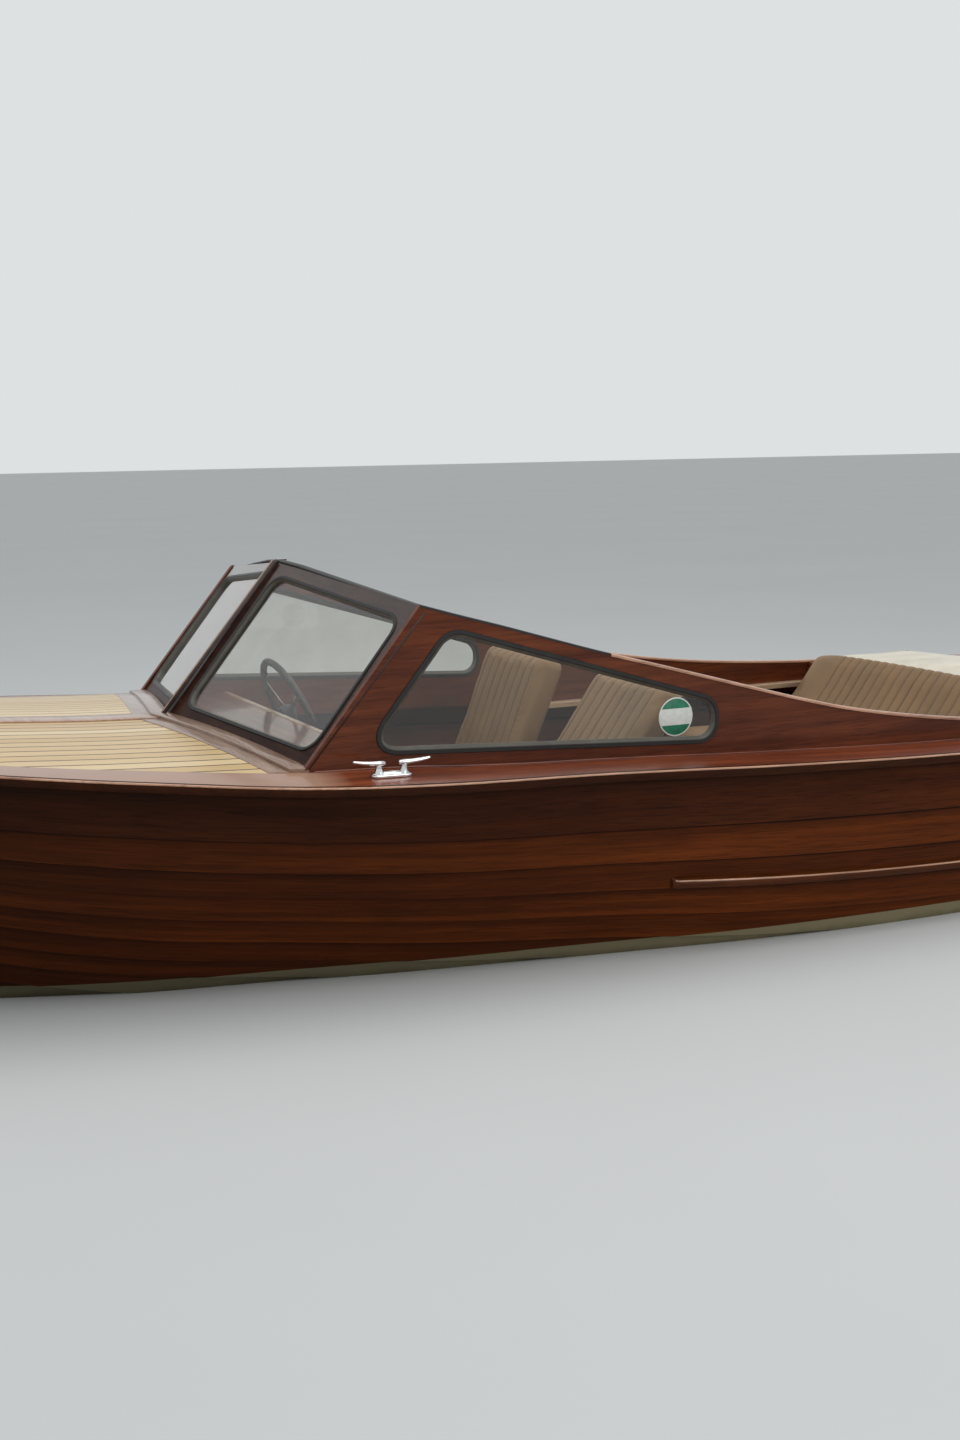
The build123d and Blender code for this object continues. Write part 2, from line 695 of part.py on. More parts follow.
HATCH_Z = 545.0
side_top = coaming_low - 10
engine_half = bulkhead_ring(ENGINE_BULKHEAD, PANEL, side_top)
engine_half = [(COAMING_IN, HATCH_Z - 5), (COAMING_IN, side_top)] + engine_half
with BuildPart() as engine_bulkhead:
    with BuildSketch(Plane.YZ.offset(ENGINE_BULKHEAD)):
        with BuildLine():
            Polyline(*engine_half, *[(-y, z) for y, z in engine_half[::-1]], close=True)
        make_face()
    extrude(amount=PANEL)
out(engine_bulkhead, "engine_bulkhead")

# Seats: base box, cushion and leaning backrest
# name, y_low, y_high, x_aft, x_fore, base_top, cushion_top, back_foot_x, back_top_x, back_top_z, back_thick
SEATS = (
    ("front_seat_port", 100, 600, -190, 380, 270, 385, -2, -370, 767, 95),
    ("front_seat_starboard", -600, -100, -230, 380, 270, 385, -84, -292, 785, 95),
    ("aft_bench", -700, 700, -1800, -1150, 255, 370, -1522, -1862, 625, 70),
)
CUSHION_GAP = 0.3
BACK_ROUND = 20.0
BACK_CORNER = 40.0
for name, y_low, y_high, x_aft, x_fore, base_top, cushion_top, foot_x, top_x, top_z, thick in SEATS:
    middle_y = (y_low + y_high) / 2
    wide = y_high - y_low
    middle_x = (x_aft + x_fore) / 2
    long = x_fore - x_aft
    tall = base_top - SOLE_TOP
    with BuildPart() as base_box:
        with BuildSketch(Plane.XY.offset(SOLE_TOP)):
            with Locations((middle_x, middle_y)):
                Rectangle(long, wide)
        extrude(amount=tall)
        with BuildSketch(Plane.XY.offset(SOLE_TOP)):
            with Locations((middle_x, middle_y)):
                Rectangle(long - 2 * PANEL, wide - 2 * PANEL)
        extrude(amount=tall - PANEL, mode=Mode.SUBTRACT)
    out(base_box, f"{name}_base")
    cushion_aft = foot_x + 8
    cushion_fore = x_fore + 15
    with BuildPart() as cushion:
        with BuildSketch(Plane.XY.offset(base_top + CUSHION_GAP)):
            with Locations(((cushion_aft + cushion_fore) / 2, middle_y)):
                RectangleRounded(cushion_fore - cushion_aft, wide, 30)
        extrude(amount=cushion_top - base_top - CUSHION_GAP)
        fillet(cushion.faces().sort_by(Axis.Z)[-1].edges(), 28)
    out(cushion, f"{name}_cushion")
    lean_x = top_x - foot_x
    lean_z = top_z - base_top
    slope = hypot(lean_x, lean_z)
    back_plane = Plane(
        origin=(foot_x, middle_y, base_top + CUSHION_GAP),
        x_dir=(0, 1, 0),
        z_dir=(-lean_z / slope, 0, lean_x / slope),
    )
    lean_sin = abs(lean_x) / slope
    lean_cos = lean_z / slope
    foot_lift = (thick * lean_sin - BACK_ROUND * (lean_cos + lean_sin - 1)) / lean_cos
    with BuildPart() as back:
        with BuildSketch(back_plane):
            with Locations((0, -(slope + foot_lift) / 2)):
                RectangleRounded(wide, slope - foot_lift, BACK_CORNER)
        extrude(amount=thick)
        fillet(back.faces().sort_by(Axis.X)[-1].edges(), BACK_ROUND)
    out(back, f"{name}_back")

# Engine hatch: lid with knuckles, sun pad, and the fixed hinge halves with their pins
coaming_face = COAMING_AFT + COAMING_THICK
HATCH_FORE = ENGINE_BULKHEAD + 13
HATCH_AFT = coaming_face + 10
HATCH_HALF = COAMING_IN - 15
PAD_TOP = 602.0
PAD_FORE = HATCH_FORE - 10
PAD_AFT = HATCH_AFT + 20
PAD_HALF = HATCH_HALF - 50
PAD_ROUND = 18.0
HINGE_X = coaming_face + 14
HINGE_Z = 572.0
HINGE_PIN_R = 4.0
HINGE_YS = {"port": 450.0, "starboard": -450.0}
KNUCKLE_R = 8.0
KNUCKLE_HALF = 12.0
CHEEK_R = 6.5
CHEEK_HALF = 3.0
CHEEK_Y = 17.0
LEAF_THICK = 3.0
LEAF_TALL = 33.0
with BuildPart() as hatch_lid:
    with BuildSketch(Plane.XY.offset(HATCH_Z)):
        with Locations(((HATCH_FORE + HATCH_AFT) / 2, 0)):
            Rectangle(HATCH_FORE - HATCH_AFT, 2 * HATCH_HALF)
    extrude(amount=PANEL)
    for hinge_y in HINGE_YS.values():
        with BuildSketch(Plane.XZ.offset(-hinge_y)):
            with Locations((HINGE_X, HINGE_Z)):
                Circle(KNUCKLE_R)
            with Locations((HINGE_X + 2, (HATCH_Z + PANEL + HINGE_Z) / 2)):
                Rectangle(2 * KNUCKLE_R - 4, HINGE_Z - HATCH_Z - PANEL)
            with Locations((HINGE_X, HINGE_Z)):
                Circle(HINGE_PIN_R + RUNNING_FIT, mode=Mode.SUBTRACT)
        extrude(amount=KNUCKLE_HALF, both=True)
out(hatch_lid, "hatch_lid")
with BuildPart() as hatch_pad:
    with BuildSketch(Plane.XY.offset(HATCH_Z + PANEL + CUSHION_GAP)):
        with Locations(((PAD_FORE + PAD_AFT) / 2, 0)):
            RectangleRounded(PAD_FORE - PAD_AFT, 2 * PAD_HALF, 50)
    extrude(amount=PAD_TOP - HATCH_Z - PANEL - CUSHION_GAP)
    fillet(hatch_pad.faces().sort_by(Axis.Z)[-1].edges(), PAD_ROUND)
out(hatch_pad, "hatch_pad")
for side_name, hinge_y in HINGE_YS.items():
    with BuildPart() as hinge:
        with BuildSketch(Plane.XZ.offset(-hinge_y)):
            with Locations((coaming_face + LEAF_THICK / 2, HINGE_Z - 10)):
                Rectangle(LEAF_THICK, LEAF_TALL)
        extrude(amount=CHEEK_Y + CHEEK_HALF, both=True)
        for cheek in (-CHEEK_Y, CHEEK_Y):
            with BuildSketch(Plane.XZ.offset(-hinge_y - cheek)):
                with Locations((HINGE_X, HINGE_Z)):
                    Circle(CHEEK_R)
                with Locations(((coaming_face + HINGE_X) / 2, HINGE_Z)):
                    Rectangle(HINGE_X - coaming_face, 2 * CHEEK_R)
            extrude(amount=CHEEK_HALF, both=True)
        with BuildSketch(Plane.XZ.offset(-hinge_y)):
            with Locations((HINGE_X, HINGE_Z)):
                Circle(HINGE_PIN_R)
        extrude(amount=CHEEK_Y + CHEEK_HALF, both=True)
    out(hinge, f"hatch_hinge_{side_name}")

# Engine, one plain block on its bed
ENGINE_X = (-2380.0, -1960.0)
ENGINE_HALF = 210.0
ENGINE_TALL = 480.0
BED_TOP = -60.0
with BuildPart() as engine_bed:
    with BuildSketch(Plane.XZ):
        with BuildLine():
            Polyline(
                (ENGINE_X[0], keel_top(ENGINE_X[0])), keel_line[1],
                (ENGINE_X[1], keel_top(ENGINE_X[1])), (ENGINE_X[1], BED_TOP), (ENGINE_X[0], BED_TOP),
                close=True,
            )
        make_face()
    extrude(amount=BACKBONE_HALF - 1, both=True)
out(engine_bed, "engine_bed")
with BuildPart() as engine:
    with BuildSketch(Plane.XY.offset(BED_TOP)):
        with Locations((sum(ENGINE_X) / 2, 0)):
            Rectangle(ENGINE_X[1] - ENGINE_X[0], 2 * ENGINE_HALF)
    extrude(amount=ENGINE_TALL)
out(engine, "engine")

# Propeller and its shaft
SHAFT_END = PROP_X - 60.0
with BuildPart() as shaft:
    with BuildSketch(Plane.YZ.offset(SHAFT_END)):
        with Locations((0, SHAFT_Z)):
            Circle(SHAFT_R)
    extrude(amount=DEADWOOD_AFT + SHAFT_BORE - 30 - SHAFT_END)
out(shaft, "propeller_shaft")
blade_root = 0.7 * PROP_HUB_R
with BuildPart() as propeller:
    with BuildSketch(Plane.YZ.offset(PROP_X - PROP_HUB_LONG / 2)):
        with Locations((0, SHAFT_Z)):
            Circle(PROP_HUB_R)
    extrude(amount=PROP_HUB_LONG)
    for n in range(BLADES):
        turn = radians(360.0 / BLADES * n)
        pitch = radians(BLADE_PITCH)
        blade_plane = Plane(
            origin=(PROP_X, 0, SHAFT_Z),
            x_dir=(0, sin(turn), cos(turn)),
            z_dir=(cos(pitch), sin(pitch) * cos(turn), -sin(pitch) * sin(turn)),
        )
        with BuildSketch(blade_plane):
            with Locations(((PROP_R + blade_root) / 2, 0)):
                Ellipse((PROP_R - blade_root) / 2, BLADE_CHORD / 2)
        extrude(amount=BLADE_THICK / 2, both=True)
    with BuildSketch(Plane.YZ.offset(SHAFT_END)):
        with Locations((0, SHAFT_Z)):
            Circle(SHAFT_R)
    extrude(amount=PROP_HUB_LONG + 40, mode=Mode.SUBTRACT)
out(propeller, "propeller")

# Rudder with its stock and pintle
with BuildPart() as rudder:
    with BuildSketch(Plane.XZ):
        with BuildLine():
            Polyline(*[(RUDDER_X + dx, z) for dx, z in RUDDER_BLADE], close=True)
        make_face()
    extrude(amount=RUDDER_THICK / 2, both=True)
    with BuildSketch(Plane.XY.offset(-STOCK_BORE)):
        with Locations((RUDDER_X, 0)):
            Circle(STOCK_R)
    extrude(amount=STOCK_BORE + 60)
    with BuildSketch(Plane.XY.offset(HEEL_TOP - PINTLE_BORE + 5)):
        with Locations((RUDDER_X, 0)):
            Circle(PINTLE_R)
    extrude(amount=2 * PINTLE_BORE)
out(rudder, "rudder")

# Mooring cleats on the side decks: a base, and two horns each on its own leg
CLEAT_X = 733.0
CLEAT_BASE = 6.0
CLEAT_WIDE = 16.0
# A horn with its leg in side view, from the cleat's middle and the base's underside
HORN = ((24, 4), (50, 4), (45, 22), (60, 32), (115, 43), (115, 50), (88, 47), (32, 44), (20, 38))
CLEAT_LONG = 120.0
CLEAT_DEEP = 34.0
CLEAT_LIFT = 0.5


def board_top(x, y):
    """Height of the covering board's upper face."""
    half, sheer, inner_y, rise = row_at(DECK_ROWS, x)[1:5]
    return sheer + DECK + rise * (half - y) / (half - inner_y)


cleat_row = row_at(DECK_ROWS, CLEAT_X)
cleat_y = (cleat_row[1] + cleat_row[3]) / 2
x_ends = [board_top(CLEAT_X + dx, cleat_y) for dx in (-CLEAT_LONG / 2, CLEAT_LONG / 2)]
y_ends = [board_top(CLEAT_X, cleat_y + dy) for dy in (-CLEAT_DEEP / 2, CLEAT_DEEP / 2)]
x_slope = (x_ends[1] - x_ends[0]) / CLEAT_LONG
y_slope = (y_ends[1] - y_ends[0]) / CLEAT_DEEP
for side_name, side in SIDES:
    foot = (CLEAT_X, side * cleat_y, board_top(CLEAT_X, cleat_y) + CLEAT_LIFT)
    tilt = Plane(origin=foot, x_dir=(1, 0, x_slope), z_dir=(-x_slope, -side * y_slope, 1))
    side_view = Plane(origin=foot, x_dir=tilt.x_dir, z_dir=-tilt.y_dir)
    with BuildPart() as cleat:
        with BuildSketch(tilt):
            RectangleRounded(CLEAT_LONG, CLEAT_DEEP, CLEAT_DEEP / 2 - 2)
        extrude(amount=CLEAT_BASE)
        for end in (-1, 1):
            with BuildSketch(side_view):
                with BuildLine():
                    Polyline(*[(end * dx, dz) for dx, dz in HORN], close=True)
                make_face()
            extrude(amount=CLEAT_WIDE / 2, both=True)
    out(cleat, f"cleat_{side_name}")

# Bow eye on the stem
EYE_X = 2787.0
EYE_Z = 330.0
EYE_R = 14.0
with BuildPart() as bow_eye:
    with BuildSketch(Plane.XZ):
        with Locations((EYE_X, EYE_Z)):
            Circle(2 * EYE_R)
        with Locations((EYE_X - 25, EYE_Z)):
            Rectangle(50, 4 * EYE_R)
        with Locations((EYE_X, EYE_Z)):
            Circle(EYE_R, mode=Mode.SUBTRACT)
    extrude(amount=7, both=True)
    add(stem.part, mode=Mode.SUBTRACT)
out(bow_eye, "bow_eye")
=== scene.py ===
from math import atan2, ceil, cos, pi, radians, sin, sqrt, tan

import bmesh
import bpy
from bpy.props import FloatProperty, FloatVectorProperty, IntProperty, PointerProperty
from mathutils import Matrix, Vector


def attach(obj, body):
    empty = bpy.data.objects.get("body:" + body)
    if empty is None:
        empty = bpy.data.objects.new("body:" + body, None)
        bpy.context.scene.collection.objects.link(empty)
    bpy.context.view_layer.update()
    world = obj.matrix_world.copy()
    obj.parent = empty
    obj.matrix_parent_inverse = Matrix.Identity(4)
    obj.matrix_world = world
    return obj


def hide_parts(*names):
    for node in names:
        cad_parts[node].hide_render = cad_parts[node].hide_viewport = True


bl_info = {
    "name": "Varnished Motorboat",
    "version": (1, 0, 0),
    "blender": (4, 5, 0),
    "location": "3D View > Sidebar > Motorboat",
    "description": "Planking, joinery, glazing, upholstery and fittings of a wooden motorboat",
    "category": "Object",
}

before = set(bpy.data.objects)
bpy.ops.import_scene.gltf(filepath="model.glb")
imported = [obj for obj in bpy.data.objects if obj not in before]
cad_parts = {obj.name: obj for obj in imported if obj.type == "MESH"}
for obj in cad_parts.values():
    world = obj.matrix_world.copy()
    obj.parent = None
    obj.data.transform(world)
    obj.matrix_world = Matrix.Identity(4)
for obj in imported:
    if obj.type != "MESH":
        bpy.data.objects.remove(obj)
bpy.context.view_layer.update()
MM = 0.001


# Hull lines, as the source has them, in millimetres and in shares of the half beam
HALF_BEAM = 1046
COAMING_OUT = 850 * MM
COAMING_THICK = 20 * MM
PLANK = 12
LAP_STEP = 9
BACKBONE_HALF = 30
DECK = 14
# x_keel, keel_z, x_sheer, half, sheer_z, y1, z1, y2, z2
SECTIONS = (
    (-2850, -70, -2850, 0.865, 512, 0.612, -80, 0.96, -110),
    (-2300, -155, -2300, 0.932, 521, 0.661, -157, 1.017, -178),
    (-1700, -229, -1700, 0.97, 532, 0.691, -225, 1.063, -217),
    (-1100, -273, -1100, 0.99, 547, 0.683, -269, 1.066, -217),
    (-500, -292, -500, 1.0, 569, 0.61, -285, 1.037, -179),
    (100, -295, 100, 0.996, 588, 0.497, -280, 0.931, -120),
    (600, -289, 600, 0.967, 598, 0.395, -264, 0.868, -76),
    (1000, -278, 1000, 0.913, 617, 0.315, -244, 0.792, -46),
    (1350, -258, 1350, 0.834, 648, 0.25, -219, 0.761, -23),
    (1650, -238, 1660, 0.751, 674, 0.178, -195, 0.678, 20),
    (1900, -215, 1960, 0.646, 697, 0.12, -165, 0.54, 50),
    (2050, -194, 2215, 0.53, 714, 0.095, -119, 0.467, 110),
    (2180, -170, 2480, 0.382, 731, 0.076, -60, 0.301, 220),
)
RABBET = ((2300, -130), (2640, -40), (2880, 752))
LAPS = (0, 0.11, 0.18, 0.24, 0.30, 0.36, 0.42, 0.48, 0.55, 0.63, 0.72, 0.82, 0.92, 1)
# x, how far the sheer lies below the sections' own end
SHEER_DROP = (
    (-2850, 0), (-2450, 3), (-1900, 9), (-1500, 14), (-1130, 16), (-715, 15.7), (-435, 13.5), (-104, 7),
    (240, 2), (944, 4), (1267, 5), (1514, 4), (1753, 0), (2880, 0),
)
# x, rise of the covering board's inner edge, height of the centreline
DECK_RISE = (
    (-2850, 8), (-2450, 11), (-1900, 9), (-1500, 1), (-1300, 0), (0, 0), (260, 1), (503, 11), (620, 18),
    (733, 20), (944, 18), (1350, 11), (1660, 7), (1960, 5), (2215, 4), (2480, 3), (2840, 3),
)
DECK_CROWN = (
    (944, 687), (1000, 688), (1350, 699), (1660, 719), (1960, 737), (2215, 749), (2480, 760), (2840, 771),
)
DECK_INNER = (
    (944, 850), (1000, 841), (1350, 758), (1660, 672), (1960, 562), (2215, 440), (2480, 286), (2840, 36),
)
KING_HALF = ((944, 50), (2480, 50), (2840, 12))
KING_RISE = 5
SCREEN_FOOT = ((1096, 0, 690), (944, 850, 645))
SCREEN_HEAD = ((720, 0, 1160), (589, 844, 1068))
SCREEN_PANE = ((0, 0), (864.66, 0), (899.2, 550), (42, 600))
SCREEN_FACE = 54
SCREEN_THICK = 24
SCREEN_RADIUS = 55
COAMING_TOP = (
    (606, 1079), (483, 1043), (358, 1008), (199, 961), (34, 913), (-135, 868),
    (-309, 821), (-489, 772), (-675, 722), (-827, 685), (-984, 655), (-1144, 630),
    (-1308, 609), (-1632, 582), (-1900, 568), (-2450, 572),
)
WINDOW = ((780, 684), (-362, 622), (-362, 740), (517, 1005))
WINDOW_RADII = (53, 56, 60, 67)
LABEL = (-0.226, 0.8433, 0.701)
WHEEL_CENTRE = (0.56, -0.35, 0.61)
WHEEL_RAKE = radians(23)
SIDES = (("port", 1), ("starboard", -1))


def tone(red, green, blue):
    """Screen colour values from 0 to 255 as scene-linear ones."""
    steps = [value / 255 for value in (red, green, blue)]
    return tuple(s / 12.92 if s <= 0.04045 else ((s + 0.055) / 1.055) ** 2.4 for s in steps)


def colour(label, note, value):
    return FloatVectorProperty(name=label, description=note, subtype="COLOR", min=0, max=1, default=value)


def length(label, note, value):
    return FloatProperty(name=label, description=note, unit="LENGTH", min=0, default=value)


class BoatColours(bpy.types.PropertyGroup):
    """Colours of the boat's finishes."""

    planking_dark: colour("Planking, dark grain", "Darkest grain of the hull planks", tone(63, 30, 10))
    planking_mid: colour("Planking, middle", "Main colour of the hull planks", tone(80, 38, 12))
    planking_light: colour("Planking, light grain", "Lightest grain of the hull planks", tone(96, 47, 15))
    coaming_dark: colour("Joinery, dark grain", "Darkest grain of coamings and decks", tone(62, 28, 17))
    coaming_mid: colour("Joinery, middle", "Main colour of coamings and decks", tone(104, 50, 29))
    coaming_light: colour("Joinery, light grain", "Lightest grain of coamings and decks", tone(140, 74, 42))
    deck_pale: colour("Deck planks, pale", "Palest foredeck plank", tone(226, 200, 152))
    deck_warm: colour("Deck planks, warm", "Warmest foredeck plank", tone(202, 168, 110))
    deck_seam: colour("Deck seams", "Caulking between the foredeck planks", tone(84, 60, 36))
    # Painted shade: the boot stripe is a cream paint, given here the darker tone that it has in shade.
    boot_stripe: colour("Boot stripe", "Band of paint just above the water", tone(116, 108, 84))
    bottom: colour("Bottom paint", "Paint below the water", tone(92, 34, 28))
    rubber: colour("Rubber", "Window gaskets and trims", tone(24, 23, 22))
    lip: colour("Grey rubber", "Inner lips of the window gaskets", tone(78, 75, 67))
    vinyl: colour("Seat vinyl", "Seats and aft bench", tone(143, 111, 73))
    cream: colour("Cream vinyl", "Sun pad over the engine", tone(234, 226, 206))
    sole: colour("Sole", "Cockpit floor boards", tone(112, 80, 54))
    bronze: colour("Bronze", "Propeller and rudder", tone(176, 132, 72))
    engine: colour("Engine paint", "Engine block", tone(70, 92, 100))
    floor: colour("Studio floor", "Plain floor under the boat", tone(205, 207, 206))


class BoatSizes(bpy.types.PropertyGroup):
    """Sizes of the pieces that this file adds."""

    ring_step: length("Ring spacing", "Distance between the rings that the long pieces sweep through", 0.11)
    stripe_height: length("Boot stripe height", "Top of the boot stripe above the water", 0.045)
    deck_pitch: length("Deck plank width", "Width of a foredeck plank with its seam", 0.058)
    seam_width: length("Deck seam width", "Width of the caulking", 0.008)
    margin_width: length("Margin board width", "Width of the board ahead of the windscreen", 0.098)
    screen_gasket: length("Windscreen gasket", "Width of the rubber round the panes", 0.016)
    side_gasket: length("Side window gasket", "Width of the rubber round the side windows", 0.023)
    gasket_proud: length("Gasket proud", "How far a gasket stands out of the wood", 0.004)
    cap_half: length("Coaming cap", "Half the width of the cap along the coaming", 0.014)
    cap_start: length("Cap's start", "Where the black trim on the coaming ends and the cap begins", 0.0)
    channel: length("Channel width", "Width of the sewn channels in the upholstery", 0.052)
    channel_depth: length("Channel depth", "Depth of the sewn channels", 0.009)
    swell: length("Cushion swell", "Most that a cover may swell from its pattern", 0.012)
    swell_frames: IntProperty(name="Swell frames", description="Cloth steps for the cushions", min=2, default=20)


def colours():
    return bpy.context.scene.boat_colours


def sizes():
    return bpy.context.scene.boat_sizes


# Curves through the tables


def fair(rows, x):
    """Reads a table of (x, a, b, ...) at any x, on a smooth curve through all its rows."""
    n = len(rows) - 1
    i = 0
    while i < n - 1 and x > rows[i + 1][0]:
        i += 1

    def chord(k, c):
        return (rows[k + 1][c] - rows[k][c]) / (rows[k + 1][0] - rows[k][0])

    def slope(k, c):
        if n == 1:
            return chord(0, c)
        if k == 0:
            share = (rows[1][0] - rows[0][0]) / (rows[2][0] - rows[0][0])
            return chord(0, c) + (chord(0, c) - chord(1, c)) * share
        if k == n:
            share = (rows[n][0] - rows[n - 1][0]) / (rows[n][0] - rows[n - 2][0])
            return chord(n - 1, c) + (chord(n - 1, c) - chord(n - 2, c)) * share
        before = rows[k][0] - rows[k - 1][0]
        after = rows[k + 1][0] - rows[k][0]
        return (chord(k - 1, c) * after + chord(k, c) * before) / (before + after)

    span = rows[i + 1][0] - rows[i][0]
    t = (x - rows[i][0]) / span
    value = []
    for c in range(1, len(rows[0])):
        a, b = rows[i][c], rows[i + 1][c]
        ma, mb = slope(i, c) * span, slope(i + 1, c) * span
        value.append(
            a * (2 * t**3 - 3 * t**2 + 1) + ma * (t**3 - 2 * t**2 + t) + b * (3 * t**2 - 2 * t**3) + mb * (t**3 - t**2)
        )
    return value


def straight(rows, x):
    """Reads a table of (x, value) at any x, straight between its rows."""
    for (xa, a), (xb, b) in zip(rows, rows[1:]):
        if x <= xb:
            return a + (b - a) * (x - xa) / (xb - xa)
    return rows[-1][1]


def spread(low, high, step, marks=()):
    """Values from low to high at most a step apart, with any marks between among them."""
    stops = [low, *sorted(m for m in marks if low < m < high), high]
    values = [low]
    for a, b in zip(stops, stops[1:]):
        count = max(1, ceil((b - a) / step))
        values += [a + (b - a) * (i + 1) / count for i in range(count)]
    return values


def plank_marks(curve):
    """Points and outward normals of a section's outline at the planks' shares of its girth."""
    reach = [0.0]
    for p, q in zip(curve, curve[1:]):
        reach.append(reach[-1] + (q - p).length)
    marks = []
    for share in LAPS:
        want = reach[-1] * (1 - share)
        n = max(i for i in range(len(curve) - 1) if reach[i] <= want or i == 0)
        along = curve[n + 1] - curve[n]
        point = curve[n] + along * ((want - reach[n]) / (reach[n + 1] - reach[n]))
        marks.append((point, Vector((along.y, -along.x)).normalized()))
    return marks


def plank_ring(section):
    """One section through the planking: outer face with its laps, then the inner face, and lap counts."""
    x_keel, keel_z, x_sheer, half, sheer_z, y1, z1, y2, z2 = section
    pins = [(BACKBONE_HALF, keel_z), (y1 * HALF_BEAM, z1), (y2 * HALF_BEAM, z2), (half * HALF_BEAM, sheer_z)]
    a, b, c, d = [Vector(pin) for pin in pins]
    curve = []
    for i in range(81):
        t = i / 80
        curve.append(a * (1 - t) ** 3 + b * 3 * t * (1 - t) ** 2 + c * 3 * t * t * (1 - t) + d * t**3)
    lean = (x_sheer - x_keel) / (sheer_z - keel_z)
    outer, inner = [], []
    for i, (point, normal) in enumerate(plank_marks(curve)):
        last = i == len(LAPS) - 1
        if i and not last:
            outer.append(point + normal * LAP_STEP)
        outer.append(point)
        inner.append(point + Vector((0, PLANK)) if last else point - normal * PLANK)
    return [Vector((x_keel + (p.y - keel_z) * lean, p.x, p.y)) for p in outer + inner[::-1]]


def stem_ring():
    """The planks' ends along the side of the stem."""
    start, control, end = [Vector(p) for p in RABBET]
    curve = []
    for i in range(41):
        t = i / 40
        curve.append(start * (1 - t) ** 2 + control * 2 * t * (1 - t) + end * t * t)
    outer, inner = [], []
    for i, (point, normal) in enumerate(plank_marks(curve)):
        last = i == len(LAPS) - 1
        if i and not last:
            outer.append(Vector((point.x + 2, BACKBONE_HALF, point.y)))
        outer.append(Vector((point.x, BACKBONE_HALF, point.y)))
        inner.append(Vector((point.x - PLANK * 1.6, BACKBONE_HALF, point.y + (PLANK if last else 0))))
    return outer + inner[::-1]


RINGS = [plank_ring(section) for section in SECTIONS] + [stem_ring()]
STATIONS = [section[2] for section in SECTIONS] + [RABBET[2][0]]
LINES = [[(s, *ring[k]) for s, ring in zip(STATIONS, RINGS)] for k in range(len(RINGS[0]))]
OUTER_COUNT = 2 * len(LAPS) - 2
SHEER_POINTS = ((0, 1), (-1, -2))


def hull_ring(station, side=1):
    """A ring through the planking at any station, in metres."""
    ring = [Vector(fair(line, station)) * MM for line in LINES]
    drop = fair(SHEER_DROP, station)[0] * MM
    for end, near in SHEER_POINTS:
        down = (ring[near] - ring[end]).normalized()
        ring[end] = ring[end] + down * drop
    return [Vector((p.x, p.y * side, p.z)) for p in ring]


def sheer_at(x):
    """Half-breadth and height of the sheer at x, in metres."""
    sheer = hull_ring(x / MM)[0]
    return sheer.y, sheer.z


def board_inner(x):
    """Inner edge of the covering board at x, in metres."""
    return COAMING_OUT if x / MM <= DECK_INNER[0][0] else fair(DECK_INNER, x / MM)[0] * MM


def board_top(x, y):
    """Height of the covering board's upper face."""
    half, height = sheer_at(x)
    inner = board_inner(x)
    return height + DECK * MM + straight(DECK_RISE, x / MM) * MM * (half - y) / (half - inner)


def deck_top(x, y):
    """Height of the foredeck at a place."""
    crown = fair(DECK_CROWN, x / MM)[0] * MM
    flat = straight(KING_HALF, x / MM) * MM
    inner = board_inner(x)
    edge = board_top(x, inner)
    share = max(0.0, (abs(y) - flat) / (inner - flat))
    return crown - (crown - edge) * share * share


def coaming_top(x):
    rows = [(a, b) for a, b in COAMING_TOP[::-1]]
    return fair(rows, x / MM)[0] * MM


def screen_place(side):
    """The windscreen pane's own frame: X along its foot, Y up the pane, Z out of its outer face."""
    foot_mid, foot_corner = [Vector(p) * MM for p in SCREEN_FOOT]
    head = Vector(SCREEN_HEAD[0]) * MM
    along = (foot_corner - foot_mid).normalized()
    out = along.cross(head - foot_mid).normalized()
    up = out.cross(along)
    place = Matrix((along, up, out)).transposed().to_4x4()
    place.translation = foot_mid
    if side < 0:
        place = Matrix.Scale(-1, 4, (0, 1, 0)) @ place
    return place


# Mesh tools


def sweep(bm, rings, closed=True, ends=True):
    """Extrudes a ring of points through the given places, and closes its ends."""
    verts = [bm.verts.new(p) for p in rings[0]]
    count = len(verts)
    pairs = [(i, (i + 1) % count) for i in range(count if closed else count - 1)]
    edges = [bm.edges.new((verts[a], verts[b])) for a, b in pairs]
    first = edges
    grid = [verts]
    for ring in rings[1:]:
        made = bmesh.ops.extrude_edge_only(bm, edges=edges)["geom"]
        fresh = {item for item in made if isinstance(item, bmesh.types.BMVert)}
        follow = []
        for vert, place in zip(verts, ring):
            new = next(e.other_vert(vert) for e in vert.link_edges if e.other_vert(vert) in fresh)
            follow.append(new)
        for new, place in zip(follow, ring):
            new.co = place
        verts = follow
        grid.append(verts)
        edges = [bm.edges.get((verts[a], verts[b])) for a, b in pairs]
    if closed and ends:
        bmesh.ops.edgeloop_fill(bm, edges=first)
        bmesh.ops.edgeloop_fill(bm, edges=edges)
    return grid


def path_rings(path, profile, up, wrap=False):
    """A profile of (across, up) points set square to a path at each of its points."""
    rings = []
    count = len(path)
    for i, place in enumerate(path):
        if wrap:
            along = (path[(i + 1) % count] - path[i - 1]).normalized()
        else:
            along = (path[min(i + 1, count - 1)] - path[max(i - 1, 0)]).normalized()
        lift = (up[i] if isinstance(up, list) else up).copy()
        lift = (lift - along * lift.dot(along)).normalized()
        across = along.cross(lift)
        scale = 1.0
        if not wrap:
            before = (path[i] - path[i - 1]).normalized() if i else along
            scale = 1 / max(0.5, before.dot(along))
        rings.append([place + across * a * scale + lift * b for a, b in profile])
    if wrap:
        rings.append([p.copy() for p in rings[0]])
    return rings


